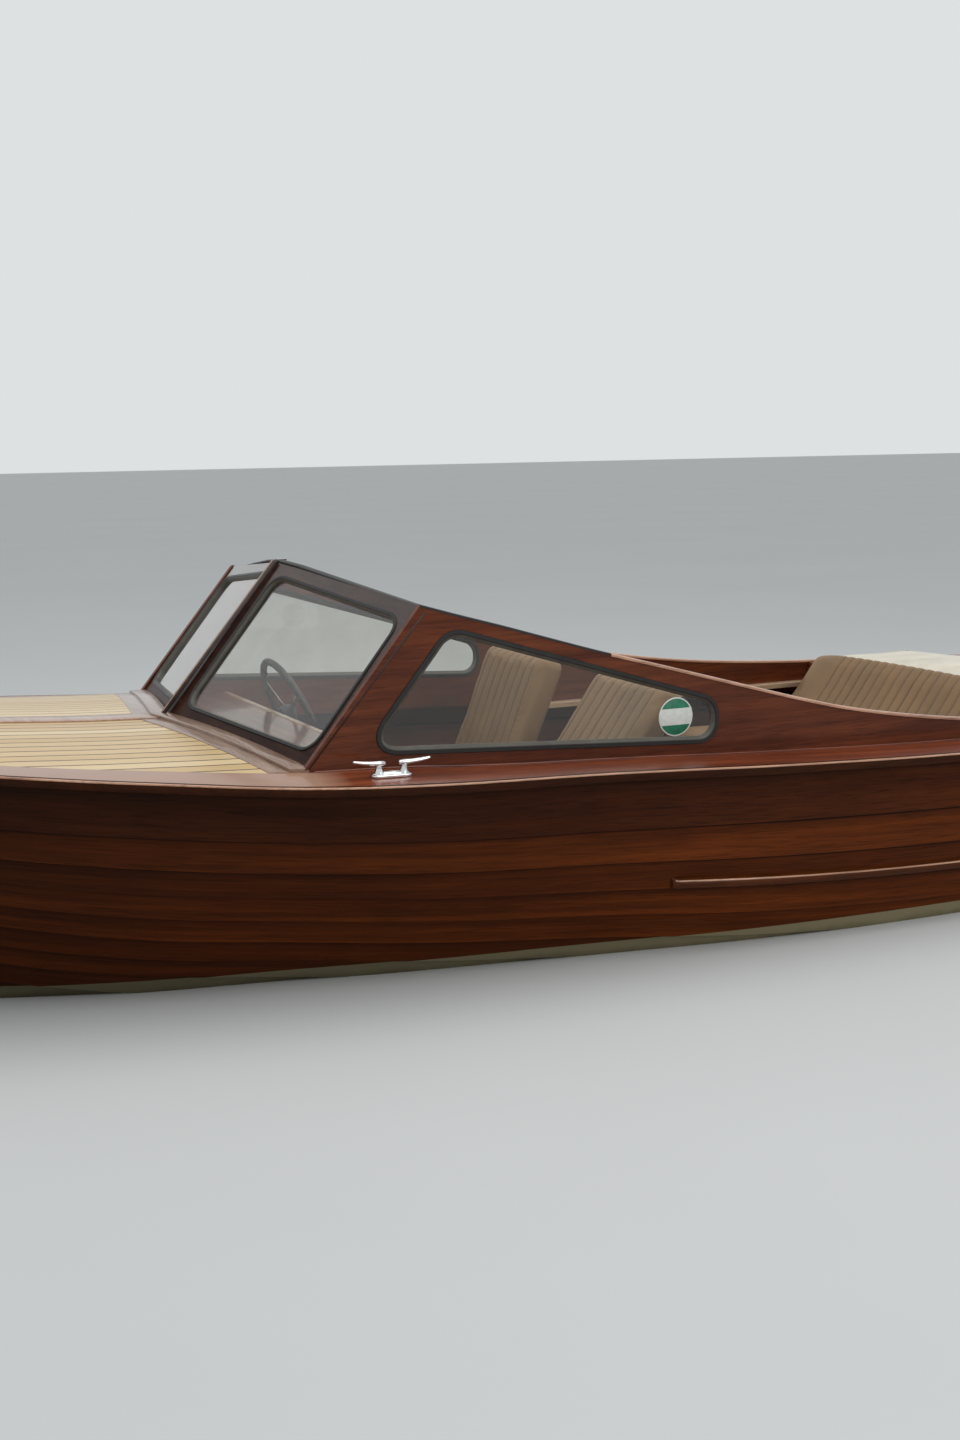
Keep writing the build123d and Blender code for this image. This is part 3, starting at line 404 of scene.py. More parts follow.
def moulding(bm, path, profile, up=Vector((0, 0, 1)), wrap=False):
    """Runs a profile along a path."""
    sweep(bm, path_rings(path, profile, up, wrap), ends=not wrap)
    if wrap:
        bmesh.ops.remove_doubles(bm, verts=bm.verts, dist=1e-6)


def circle(radius, count=12, squash=1.0):
    return [(radius * cos(2 * pi * i / count), radius * squash * sin(2 * pi * i / count)) for i in range(count)]


def tube(bm, path, radii, up=Vector((0, 0, 1)), count=14, squash=1.0):
    """A round bar along a path, with its own radius at each point."""
    rings = []
    plain = path_rings(path, circle(1.0, count, squash), up)
    for place, ring, radius in zip(path, plain, radii):
        rings.append([place + (p - place) * radius for p in ring])
    sweep(bm, rings)


def turned(bm, profile, steps=48, place=Matrix.Identity(4)):
    """A turned shape: a profile of (radius, height) points spun round Z, then placed."""
    verts = [bm.verts.new((r, 0, h)) for r, h in profile]
    edges = [bm.edges.new(pair) for pair in zip(verts, verts[1:])]
    before = set(bm.verts)
    made = bmesh.ops.spin(
        bm, geom=verts + edges, cent=(0, 0, 0), axis=(0, 0, 1), dvec=(0, 0, 0),
        angle=2 * pi, steps=steps, use_merge=True, use_duplicate=False,
    )
    fresh = [v for v in bm.verts if v not in before] + verts
    bmesh.ops.remove_doubles(bm, verts=fresh, dist=1e-6)
    fresh = [v for v in fresh if v.is_valid]
    bmesh.ops.transform(bm, matrix=place, verts=fresh)


def rounded_face(bm, corners, radii, segments=8):
    """A flat face with rounded corners on the XY plane."""
    verts = [bm.verts.new((x, y, 0)) for x, y in corners]
    bm.faces.new(verts)
    for vert, radius in zip(verts, radii):
        a, b = [e.other_vert(vert).co - vert.co for e in vert.link_edges]
        bmesh.ops.bevel(
            bm, geom=[vert], offset=radius / tan(a.angle(b) / 2), offset_type="OFFSET",
            affect="VERTICES", segments=segments, profile=0.5, material=-1,
        )


def grown(corners, amount):
    """A convex outline's corners moved out so that every side lies an amount further out."""
    count = len(corners)
    area = sum(
        corners[i][0] * corners[(i + 1) % count][1] - corners[(i + 1) % count][0] * corners[i][1]
        for i in range(count)
    )
    turn = 1 if area > 0 else -1
    places = []
    for i in range(count):
        here = Vector(corners[i])
        a = (here - Vector(corners[i - 1])).normalized()
        b = (Vector(corners[(i + 1) % count]) - here).normalized()
        na, nb = [Vector((d.y, -d.x)) * turn for d in (a, b)]
        places.append(tuple(here + (na + nb) * (amount / (1 + na.dot(nb)))))
    return places


def set_depth(bm, low, high):
    """Gives flat faces on the XY plane a body between two heights."""
    bmesh.ops.solidify(bm, geom=bm.faces[:], thickness=high - low)
    heights = [v.co.z for v in bm.verts]
    middle = (min(heights) + max(heights)) / 2
    for v in bm.verts:
        v.co.z = low if v.co.z < middle else high


def soften(bm, width, segments=2, angle=35):
    """Rounds the edges where faces meet at more than an angle."""
    bm.normal_update()
    edges = [e for e in bm.edges if e.is_manifold and e.calc_face_angle() > radians(angle)]
    bmesh.ops.bevel(
        bm, geom=edges, offset=width, offset_type="OFFSET", affect="EDGES", segments=segments,
        profile=0.5, material=-1, clamp_overlap=True,
    )


def ring_round(bm, corners, radii, profile):
    """Runs a profile of (outward, depth) points round a rounded opening on the XY plane."""
    flat = bmesh.new()
    rounded_face(flat, corners, radii)
    flat.normal_update()
    flat.faces.ensure_lookup_table()
    path = [v.co.copy() for v in flat.faces[0].verts]
    if flat.faces[0].normal.z < 0:
        path.reverse()
    flat.free()
    moulding(bm, path, profile, Vector((0, 0, 1)), True)


def gaskets(corners, radii, inside, outside, low, high):
    """The rubber ring of a window and the grey lips that slope in to its glass on both faces."""
    ring, lips = bmesh.new(), bmesh.new()
    middle = (low + high) / 2
    body = [(outside, middle), (outside, high - 0.002), (outside - 0.0015, high), (0.0, high), (-0.002, high - 0.002)]
    ring_round(ring, corners, radii, body + [(-0.002, middle)] + [(x, low + high - z) for x, z in body[:0:-1]])
    slope = [(-0.0015, high - 0.0018), (-inside, high - 0.010), (-inside, middle)]
    slope += [(x, low + high - z) for x, z in slope[1::-1]]
    ring_round(lips, corners, radii, [(-0.0015, middle), *slope])
    return ring, lips


def finish(name, bm, coat, body, replaced=(), smooth=38, outward=True, mirror=False, bevel=0):
    """Turns a bmesh into a finished piece that rides on its body."""
    if outward:
        bmesh.ops.recalc_face_normals(bm, faces=bm.faces[:])
    if bevel:
        soften(bm, bevel)
    bm.normal_update()
    for face in bm.faces:
        face.smooth = True
    for edge in bm.edges:
        edge.smooth = not (edge.is_manifold and edge.calc_face_angle() > radians(smooth))
    mesh = bpy.data.meshes.new(name)
    bm.to_mesh(mesh)
    bm.free()
    piece = bpy.data.objects.new(name, mesh)
    bpy.context.scene.collection.objects.link(piece)
    mesh.materials.append(coat)
    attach(piece, body)
    if replaced:
        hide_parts(*replaced)
    return piece


def dress(node, coat):
    """Gives a node of the frame its material."""
    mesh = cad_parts[node].data
    mesh.materials.clear()
    mesh.materials.append(coat)


# Materials


def add(tree, kind, inputs=(), **settings):
    """Adds a shader node. Each input takes a value or another node's output."""
    made = tree.nodes.new("ShaderNode" + kind)
    for key, value in settings.items():
        setattr(made, key, value)
    for key, value in dict(inputs).items():
        if isinstance(value, bpy.types.NodeSocket):
            tree.links.new(value, made.inputs[key])
        else:
            made.inputs[key].default_value = value
    return made


def start(name, **values):
    """A new material with its main shader's values set."""
    coat = bpy.data.materials.new(name)
    coat.use_nodes = True
    tree = coat.node_tree
    shader = tree.nodes["Principled BSDF"]
    for key, value in values.items():
        shader.inputs[key.replace("_", " ")].default_value = value
    return coat, tree, shader


def maths(tree, operation, a, b=0.0):
    return add(tree, "Math", {0: a, 1: b}, operation=operation).outputs[0]


def ramp(tree, factor, stops):
    """Colours or greys spread along a factor; each stop is (position, colour)."""
    made = add(tree, "ValToRGB", {"Fac": factor})
    elements = made.color_ramp.elements
    while len(elements) < len(stops):
        elements.new(0.5)
    for element, (position, value) in zip(elements, stops):
        element.position = position
        element.color = (*value, 1) if isinstance(value, tuple) else (value, value, value, 1)
    return made.outputs[0]


def blend(tree, factor, a, b, mode="MIX"):
    made = add(tree, "Mix", data_type="RGBA", blend_type=mode)
    for key, value in ((0, factor), (6, a), (7, b)):
        if isinstance(value, bpy.types.NodeSocket):
            tree.links.new(value, made.inputs[key])
        else:
            made.inputs[key].default_value = value if key == 0 else (*value, 1)[:4]
    return made.outputs[2]


def noise(tree, where, scale, detail=4, roughness=0.55, distortion=0.0):
    sockets = {"Vector": where, "Scale": scale, "Detail": detail, "Roughness": roughness, "Distortion": distortion}
    return add(tree, "TexNoise", sockets).outputs[0]


def bump(tree, shader, height, distance, strength=1.0, coat=False):
    made = add(tree, "Bump", {"Height": height, "Distance": distance, "Strength": strength})
    tree.links.new(made.outputs[0], shader.inputs["Normal"])
    if coat:
        tree.links.new(made.outputs[0], shader.inputs["Coat Normal"])


def object_place(tree):
    return add(tree, "TexCoord").outputs["Object"]


def wood_grain(tree, where, along, tones, seed=0.0):
    """Ribbon grain with fine pores along one axis: its colour and its relief."""
    stretch = [30.0, 30.0, 30.0]
    stretch["XYZ".index(along)] = 1.1
    laid = add(tree, "Mapping", {"Vector": where, "Location": (seed, seed * 1.7, seed * 0.6), "Scale": stretch})
    figure = noise(tree, laid.outputs[0], 1.0, 7, 0.62, 0.25)
    stretch = [260.0, 260.0, 260.0]
    stretch["XYZ".index(along)] = 9.0
    fine = add(tree, "Mapping", {"Vector": where, "Location": (seed, 0, seed), "Scale": stretch})
    pores = noise(tree, fine.outputs[0], 1.0, 3, 0.6)
    broad = noise(tree, where, 2.3, 2, 0.5)
    shade = maths(tree, "ADD", figure, maths(tree, "MULTIPLY", maths(tree, "SUBTRACT", broad, 0.5), 0.35))
    base = ramp(tree, shade, [(0.3, tones[0]), (0.5, tones[1]), (0.72, tones[2])])
    flecks = ramp(tree, pores, [(0.36, 0.55), (0.5, 1.0)])
    return blend(tree, 0.8, base, flecks, "MULTIPLY"), pores


def varnished(name, tones, along="X", gloss=1.0, seed=0.0, haze=0.09, relief=0.35):
    """Varnished mahogany."""
    coat, tree, shader = start(
        name, Roughness=0.4, Specular_IOR_Level=0.25 * gloss, Coat_Weight=0.8 * gloss, Coat_Roughness=haze
    )
    where = object_place(tree)
    shade, pores = wood_grain(tree, where, along, tones, seed)
    tree.links.new(shade, shader.inputs["Base Color"])
    waves = noise(tree, where, 7.0, 2, 0.5)
    height = maths(tree, "ADD", maths(tree, "MULTIPLY", pores, 0.12), waves)
    bump(tree, shader, height, 0.0016, relief, coat=True)
    return coat


def frame_coat(tones):
    """The windscreen frame's varnish, duller and redder at the foot."""
    coat = varnished("frame_mahogany", tones, "Y", 0.3, 5.1)
    tree = coat.node_tree
    shader = tree.nodes["Principled BSDF"]
    height = add(tree, "SeparateXYZ", {0: object_place(tree)}).outputs[2]
    tree.links.new(ramp(tree, height, [(0.74, 0.0), (0.98, 0.9)]), shader.inputs["Coat Weight"])
    return coat


def side_deck_coat(tones, bleached):
    """The covering boards' varnish, turned pale ahead of the windscreen as a painted sheen."""
    coat = varnished("side_deck_mahogany", tones, "X", 0.8, 2.1, 0.15, 0.2)
    tree = coat.node_tree
    shader = tree.nodes["Principled BSDF"]
    shade = shader.inputs["Base Color"].links[0].from_socket
    place = object_place(tree)
    ahead = add(tree, "SeparateXYZ", {0: place}).outputs[0]
    patchy = maths(tree, "ADD", ahead, maths(tree, "MULTIPLY", noise(tree, place, 4.0, 4), 0.1))
    # Painted sheen: from just ahead of the windscreen the boards turn pale, with a patchy edge.
    share = ramp(tree, patchy, [(0.9, 0.0), (0.99, 0.8)])
    tree.links.new(blend(tree, share, shade, bleached), shader.inputs["Base Color"])
    return coat


def planking_coat():
    """Varnished hull planks, each with its own tone, over a boot stripe and bottom paint, with painted shade under the
    laps and on the sheer plank and painted light and shade along the length.
    """
    c = colours()
    coat, tree, shader = start(
        "hull_planks", Specular_IOR_Level=0.03, Coat_Weight=0.07, Coat_Roughness=0.07
    )
    uv = add(tree, "UVMap", uv_map="planks").outputs[0]
    split = add(tree, "SeparateXYZ", {0: uv})
    count = maths(tree, "FLOOR", maths(tree, "ADD", split.outputs[1], 0.0001))
    inside = maths(tree, "SUBTRACT", split.outputs[1], count)
    laid = add(tree, "CombineXYZ", {0: split.outputs[0], 1: maths(tree, "MULTIPLY", inside, 0.12), 2: maths(tree, "MULTIPLY", count, 0.71)})
    tones = (tuple(c.planking_dark), tuple(c.planking_mid), tuple(c.planking_light))
    shade, pores = wood_grain(tree, laid.outputs[0], "X", tones)
    own = add(tree, "TexWhiteNoise", {"W": maths(tree, "ADD", count, 3.3)}, noise_dimensions="1D").outputs[0]
    own = ramp(tree, own, [(0.0, (0.70, 0.64, 0.60)), (1.0, (1.18, 1.08, 1.0))])
    shade = blend(tree, 1.0, shade, own, "MULTIPLY")
    # Painted shade: the sheer plank is darkened as if in the shadow of the gunwale rail above it.
    sheer = maths(tree, "LESS_THAN", split.outputs[1], 1.0)
    shade = blend(tree, sheer, shade, blend(tree, 1.0, shade, (0.45, 0.5, 0.8), "MULTIPLY"))
    # Painted shade: each plank is darkened just below the lap of the plank above, as its shadow, and lightened towards
    # its own lower edge.
    lap_shade = ramp(tree, inside, [(0.0, 0.08), (0.04, 0.16), (0.09, 0.66), (0.3, 0.86), (0.9, 1.08)])
    shade = blend(tree, 1.0, shade, lap_shade, "MULTIPLY")
    # Painted light and shade along the hull: the planks are lightened aft and darkened towards the bow.
    bow = ramp(tree, maths(tree, "MULTIPLY", maths(tree, "ADD", split.outputs[0], 2.85), 0.175), [(0.34, 1.3), (0.5, 1.12), (0.78, 0.66)])
    shade = blend(tree, 1.0, shade, bow, "MULTIPLY")
    place = add(tree, "SeparateXYZ", {0: object_place(tree)}).outputs
    scum = noise(tree, object_place(tree), 3.0, 5, 0.6)
    edge = maths(tree, "ADD", place[2], maths(tree, "MULTIPLY", maths(tree, "SUBTRACT", scum, 0.5), 0.002))
    low = maths(tree, "LESS_THAN", edge, sizes().stripe_height)
    stain = ramp(tree, maths(tree, "ADD", maths(tree, "MULTIPLY", place[2], 9.0), scum), [(0.42, 0.62), (0.7, 1.0)])
    stripe = blend(tree, 1.0, tuple(c.boot_stripe), stain, "MULTIPLY")
    # The boot stripe takes the same painted light and shade along the hull.
    shade = blend(tree, low, shade, blend(tree, 1.0, stripe, bow, "MULTIPLY"))
    under = maths(tree, "LESS_THAN", edge, 0.0)
    paint = ramp(tree, noise(tree, object_place(tree), 14.0, 6, 0.7), [(0.3, tuple(v * 0.7 for v in c.bottom)), (0.7, tuple(c.bottom))])
    shade = blend(tree, under, shade, paint)
    tree.links.new(shade, shader.inputs["Base Color"])
    rough = maths(tree, "ADD", maths(tree, "MULTIPLY", under, 0.35), maths(tree, "MULTIPLY", scum, 0.2))
    tree.links.new(maths(tree, "ADD", rough, 0.2), shader.inputs["Roughness"])
    waves = noise(tree, object_place(tree), 5.0, 2, 0.5)
    bump(tree, shader, maths(tree, "ADD", maths(tree, "MULTIPLY", pores, 0.1), waves), 0.0022, 0.35, coat=True)
    return coat


def deck_coat():
    """Pale deck planks along the boat, with dark seams."""
    c, s = colours(), sizes()
    coat, tree, shader = start("deck_planks", Roughness=0.36, Specular_IOR_Level=0.35, Coat_Weight=0.25, Coat_Roughness=0.2)
    where = object_place(tree)
    across = maths(tree, "DIVIDE", add(tree, "SeparateXYZ", {0: where}).outputs[1], s.deck_pitch)
    across = maths(tree, "ADD", across, 0.5)
    count = maths(tree, "FLOOR", across)
    inside = maths(tree, "SUBTRACT", across, count)
    from_middle = maths(tree, "ABSOLUTE", maths(tree, "SUBTRACT", inside, 0.5))
    seam = maths(tree, "GREATER_THAN", from_middle, 0.5 - s.seam_width / s.deck_pitch / 2)
    own = add(tree, "TexWhiteNoise", {"W": count}, noise_dimensions="1D").outputs[0]
    plank = blend(tree, own, tuple(c.deck_pale), tuple(c.deck_warm))
    shifted = add(tree, "CombineXYZ", {2: maths(tree, "MULTIPLY", count, 0.37)}).outputs[0]
    moved = add(tree, "VectorMath", {0: where, 1: shifted}, operation="ADD").outputs[0]
    grain, pores = wood_grain(tree, moved, "X", ((0.72, 0.66, 0.58), (0.93, 0.9, 0.86), (1.0, 1.0, 1.0)))
    plank = blend(tree, 0.3, plank, grain, "MULTIPLY")
    shade = blend(tree, seam, plank, tuple(c.deck_seam))
    tree.links.new(shade, shader.inputs["Base Color"])
    relief = maths(tree, "SUBTRACT", maths(tree, "MULTIPLY", pores, 0.2), seam)
    bump(tree, shader, relief, 0.0008, 0.6)
    return coat


def sole_coat():
    """Cockpit floor boards with open joints."""
    c = colours()
    coat, tree, shader = start("sole_boards", Roughness=0.5)
    where = object_place(tree)
    across = maths(tree, "DIVIDE", add(tree, "SeparateXYZ", {0: where}).outputs[1], 0.11)
    count = maths(tree, "FLOOR", across)
    gap = maths(tree, "LESS_THAN", maths(tree, "SUBTRACT", across, count), 0.045)
    base = tuple(c.sole)
    tones = [tuple(v * f for v in base) for f in (0.6, 1.0, 1.4)]
    shifted = add(tree, "CombineXYZ", {2: maths(tree, "MULTIPLY", count, 0.53)}).outputs[0]
    moved = add(tree, "VectorMath", {0: where, 1: shifted}, operation="ADD").outputs[0]
    shade, pores = wood_grain(tree, moved, "X", tones)
    tree.links.new(blend(tree, gap, shade, (0.01, 0.008, 0.006)), shader.inputs["Base Color"])
    bump(tree, shader, maths(tree, "SUBTRACT", pores, gap), 0.0012, 0.6)
    return coat


def vinyl_coat(name, shade, sheen=0.06):
    """Grained vinyl cloth, with painted shade in its sewn seams."""
    coat, tree, shader = start(name, Specular_IOR_Level=0.4, Sheen_Weight=sheen, Sheen_Roughness=0.5)
    where = object_place(tree)
    pebble = add(tree, "TexVoronoi", {"Vector": where, "Scale": 620.0}, feature="SMOOTH_F1").outputs[0]
    wear = noise(tree, where, 5.0, 4, 0.6)
    dark = tuple(v * 0.78 for v in shade)
    base = ramp(tree, wear, [(0.32, dark), (0.62, tuple(shade))])
    creases = ramp(tree, pebble, [(0.1, 1.0), (0.8, 0.86)])
    base = blend(tree, 1.0, base, creases, "MULTIPLY")
    # Painted shade: the cover is darkened in its sewn seams, by how far it is drawn in there.
    seam = add(tree, "Attribute", attribute_name="seam").outputs["Fac"]
    folds = ramp(tree, seam, [(0.1, 1.0), (0.9, 0.55)])
    tree.links.new(blend(tree, 1.0, base, folds, "MULTIPLY"), shader.inputs["Base Color"])
    tree.links.new(maths(tree, "ADD", maths(tree, "MULTIPLY", wear, 0.25), 0.36), shader.inputs["Roughness"])
    folds = noise(tree, where, 16.0, 3, 0.6)
    height = maths(tree, "ADD", maths(tree, "MULTIPLY", pebble, -0.25), folds)
    bump(tree, shader, height, 0.0012, 0.5)
    return coat


def rubber_coat(name, base):
    """Dusty rubber."""
    coat, tree, shader = start(name, Specular_IOR_Level=0.4)
    where = object_place(tree)
    dust = noise(tree, where, 22.0, 5, 0.65)
    pale = tuple(v * 1.5 + 0.005 for v in base)
    tree.links.new(ramp(tree, dust, [(0.35, base), (0.75, pale)]), shader.inputs["Base Color"])
    tree.links.new(maths(tree, "ADD", maths(tree, "MULTIPLY", dust, 0.3), 0.3), shader.inputs["Roughness"])
    bump(tree, shader, noise(tree, where, 160.0, 3), 0.0004, 0.4)
    return coat


def glass_coat():
    """Clear glass with faint smears."""
    coat, tree, shader = start(
        "clear_glass", Transmission_Weight=1.0, IOR=1.46, Specular_IOR_Level=0.5,
    )
    where = object_place(tree)
    smear = noise(tree, where, 6.0, 5, 0.6, 0.6)
    tree.links.new(ramp(tree, smear, [(0.3, (0.87, 0.87, 0.83)), (0.7, (0.95, 0.95, 0.91))]), shader.inputs["Base Color"])
    shader.inputs["Roughness"].default_value = 0.0
    return coat


def metal_coat(name, shade, low, high, scratch=0.0003, metallic=1.0):
    """Polished, turned or cast metal, with its roughness between two values."""
    coat, tree, shader = start(name, Metallic=metallic)
    where = object_place(tree)
    cloud = noise(tree, where, 30.0, 5, 0.65)
    dark = tuple(v * 0.72 for v in shade)
    tree.links.new(ramp(tree, cloud, [(0.3, dark), (0.6, tuple(shade))]), shader.inputs["Base Color"])
    span = maths(tree, "ADD", maths(tree, "MULTIPLY", cloud, high - low), low)
    tree.links.new(span, shader.inputs["Roughness"])
    bump(tree, shader, noise(tree, where, 140.0, 4, 0.6), scratch, 0.4)
    return coat


def painted_coat(name, shade, roughness=0.35):
    """Brushed or sprayed paint with chips and grime."""
    coat, tree, shader = start(name, Specular_IOR_Level=0.5)
    where = object_place(tree)
    grime = noise(tree, where, 18.0, 6, 0.65)
    dark = tuple(v * 0.55 for v in shade)
    tree.links.new(ramp(tree, grime, [(0.34, dark), (0.58, tuple(shade))]), shader.inputs["Base Color"])
    tree.links.new(maths(tree, "ADD", maths(tree, "MULTIPLY", grime, 0.3), roughness - 0.1), shader.inputs["Roughness"])
    bump(tree, shader, noise(tree, where, 90.0, 3), 0.0006, 0.4)
    return coat


def label_coat():
    """A blank round label: a white band between green segments, a little faded."""
    coat, tree, shader = start("blank_label", Specular_IOR_Level=0.4, Roughness=0.3)
    where = object_place(tree)
    out = add(tree, "VectorMath", {0: where, 1: LABEL}, operation="DISTANCE").outputs["Value"]
    rise = maths(tree, "ABSOLUTE", maths(tree, "SUBTRACT", add(tree, "SeparateXYZ", {0: where}).outputs[2], LABEL[2]))
    fade = noise(tree, where, 60.0, 4)
    green = ramp(tree, fade, [(0.3, tone(20, 104, 74)), (0.7, tone(44, 130, 98))])
    white = ramp(tree, fade, [(0.3, tone(206, 212, 206)), (0.7, tone(226, 230, 224))])
    ring = maths(tree, "MULTIPLY", maths(tree, "GREATER_THAN", rise, 0.025), maths(tree, "LESS_THAN", out, 0.055))
    tree.links.new(blend(tree, ring, white, green), shader.inputs["Base Color"])
    bump(tree, shader, noise(tree, where, 40.0, 2), 0.0002, 0.3)
    return coat


COATS = {}


def coats():
    """All the finishes, made once."""
    if COATS:
        return COATS
    c = colours()
    joinery = (tuple(c.coaming_dark), tuple(c.coaming_mid), tuple(c.coaming_light))
    hull = (tuple(c.planking_dark), tuple(c.planking_mid), tuple(c.planking_light))
    COATS["planks"] = planking_coat()
    # Painted sheen: pale tones for the highlights on the dash moulding, the windscreen's centre bead and the inner
    # ledges.
    pale = (tone(150, 122, 96), tone(182, 152, 124), tone(200, 172, 144))
    # Painted sheen: pale tones for the sky's reflection on the boards ahead of the windscreen, used on the covering
    # boards there and on the king board, and darker on the plinth and margin board.
    bleached = (tone(150, 116, 96), tone(172, 138, 116), tone(186, 154, 132))
    # Painted shade: the gunwale rail takes the hull's tones darkened to less than half, as it lies in shade under the
    # board's edge.
    COATS["rail"] = varnished("painted_shade_rail_mahogany", tuple(tuple(v * 0.42 for v in t) for t in hull), "X", 0.15, 1.3)
    COATS["rub"] = varnished("rub_mahogany", tuple(tuple(v * 0.9 for v in t) for t in hull), "X", 0.2, 9.4)
    # Painted highlight: pale tones for the thin beads along the gunwale and the rub moulding, and for the coaming caps.
    COATS["bead"] = varnished("painted_highlight_mahogany", (tone(152, 102, 76), tone(188, 140, 110), tone(206, 160, 132)), "X", 1.0, 1.9)
    COATS["board"] = varnished("board_mahogany", joinery, "X", 1.0, 2.1, 0.15, 0.2)
    COATS["side_deck"] = side_deck_coat((tone(80, 34, 15), tone(122, 55, 26), tone(152, 78, 40)), bleached[1])
    COATS["bleached"] = varnished("bleached_mahogany", bleached, "Y", 1.0, 6.6, 0.15, 0.15)
    COATS["plinth"] = varnished("plinth_mahogany", tuple(tuple(v * 0.72 for v in t) for t in bleached), "Y", 1.0, 0.8, 0.15, 0.15)
    # Painted highlight: the joinery's tones lightened, for the thin bead along each coaming's foot.
    COATS["cap"] = varnished("painted_highlight_joinery", tuple(tuple(v * 1.35 for v in t) for t in joinery), "X", 1.0, 3.2)
    COATS["panel"] = varnished("panel_mahogany", (tone(72, 34, 20), tone(98, 48, 27), tone(118, 62, 36)), "X", 0.3, 3.7)
    COATS["frame"] = frame_coat((tone(38, 22, 17), tone(58, 35, 28), tone(72, 49, 41)))
    COATS["pale"] = varnished("painted_sheen_moulding", pale, "X", 0.6, 4.4)
    COATS["cross"] = varnished("cross_mahogany", joinery, "Y", 0.6, 6.3)
    COATS["upright"] = varnished("upright_mahogany", joinery, "Z", 0.6, 7.9)
    COATS["backbone"] = varnished("backbone_wood", hull, "X", 0.3, 8.2)
    COATS["deck"] = deck_coat()
    COATS["sole"] = sole_coat()
    COATS["vinyl"] = vinyl_coat("tan_vinyl", tuple(c.vinyl))
    COATS["cream"] = vinyl_coat("cream_vinyl", tuple(c.cream), 0.05)
    COATS["rubber"] = rubber_coat("rubber", tuple(c.rubber))
    COATS["lip"] = rubber_coat("grey_rubber", tuple(c.lip))
    COATS["glass"] = glass_coat()
    COATS["chrome"] = metal_coat("chrome", (0.86, 0.87, 0.88), 0.04, 0.16, 0.0001)
    COATS["steel"] = metal_coat("steel", (0.55, 0.55, 0.54), 0.25, 0.45)
    COATS["bronze"] = metal_coat("bronze", tuple(c.bronze), 0.3, 0.6, 0.0008)
    COATS["engine"] = painted_coat("engine_enamel", tuple(c.engine))
    COATS["iron"] = painted_coat("dark_iron", (0.03, 0.03, 0.032), 0.5)
    COATS["grip"] = painted_coat("wheel_grip", (0.02, 0.013, 0.01), 0.2)
    COATS["dial"] = painted_coat("dial_face", (0.015, 0.015, 0.016), 0.3)
    COATS["label"] = label_coat()
    return COATS


# Pieces


def mark_planks(bm, grid, stations, row_of):
    """Writes the planks' UV map: metres along the hull, and planks counted from the sheer."""
    layer = bm.loops.layers.uv.new("planks")
    place = {}
    for verts, station in zip(grid, stations):
        for k, vert in enumerate(verts):
            place[vert] = (station * MM, row_of(k))
    for face in bm.faces:
        for loop in face.loops:
            loop[layer].uv = place[loop.vert]


def lap_row(k):
    """Which lap a ring's point lies on, counted from the sheer."""
    if k < OUTER_COUNT:
        return (k + 1) // 2
    return len(LAPS) - 1 - (k - OUTER_COUNT)


class BOAT_OT_planking(bpy.types.Operator):
    """Builds the fair, lapped planking of both sides"""

    bl_idname = "boat.planking"
    bl_label = "Planking"

    def execute(self, context):
        stations = spread(STATIONS[0], STATIONS[-1], sizes().ring_step / MM, STATIONS)
        for name, side in SIDES:
            bm = bmesh.new()
            grid = sweep(bm, [hull_ring(s, side) for s in stations])
            mark_planks(bm, grid, stations, lap_row)
            bmesh.ops.recalc_face_normals(bm, faces=bm.faces[:])
            piece = finish(f"planks_{name}", bm, coats()["planks"], "boat", [f"planking_{name}"])
            edge = piece.modifiers.new("eased laps", "BEVEL")
            edge.width = 0.0016
            edge.segments = 2
            edge.limit_method = "ANGLE"
            edge.angle_limit = radians(50)
            edge.material = -1
        for node in ("keel", "stem"):
            dress(node, coats()["backbone"])
        dress("transom", coats()["cross"])
        return {"FINISHED"}


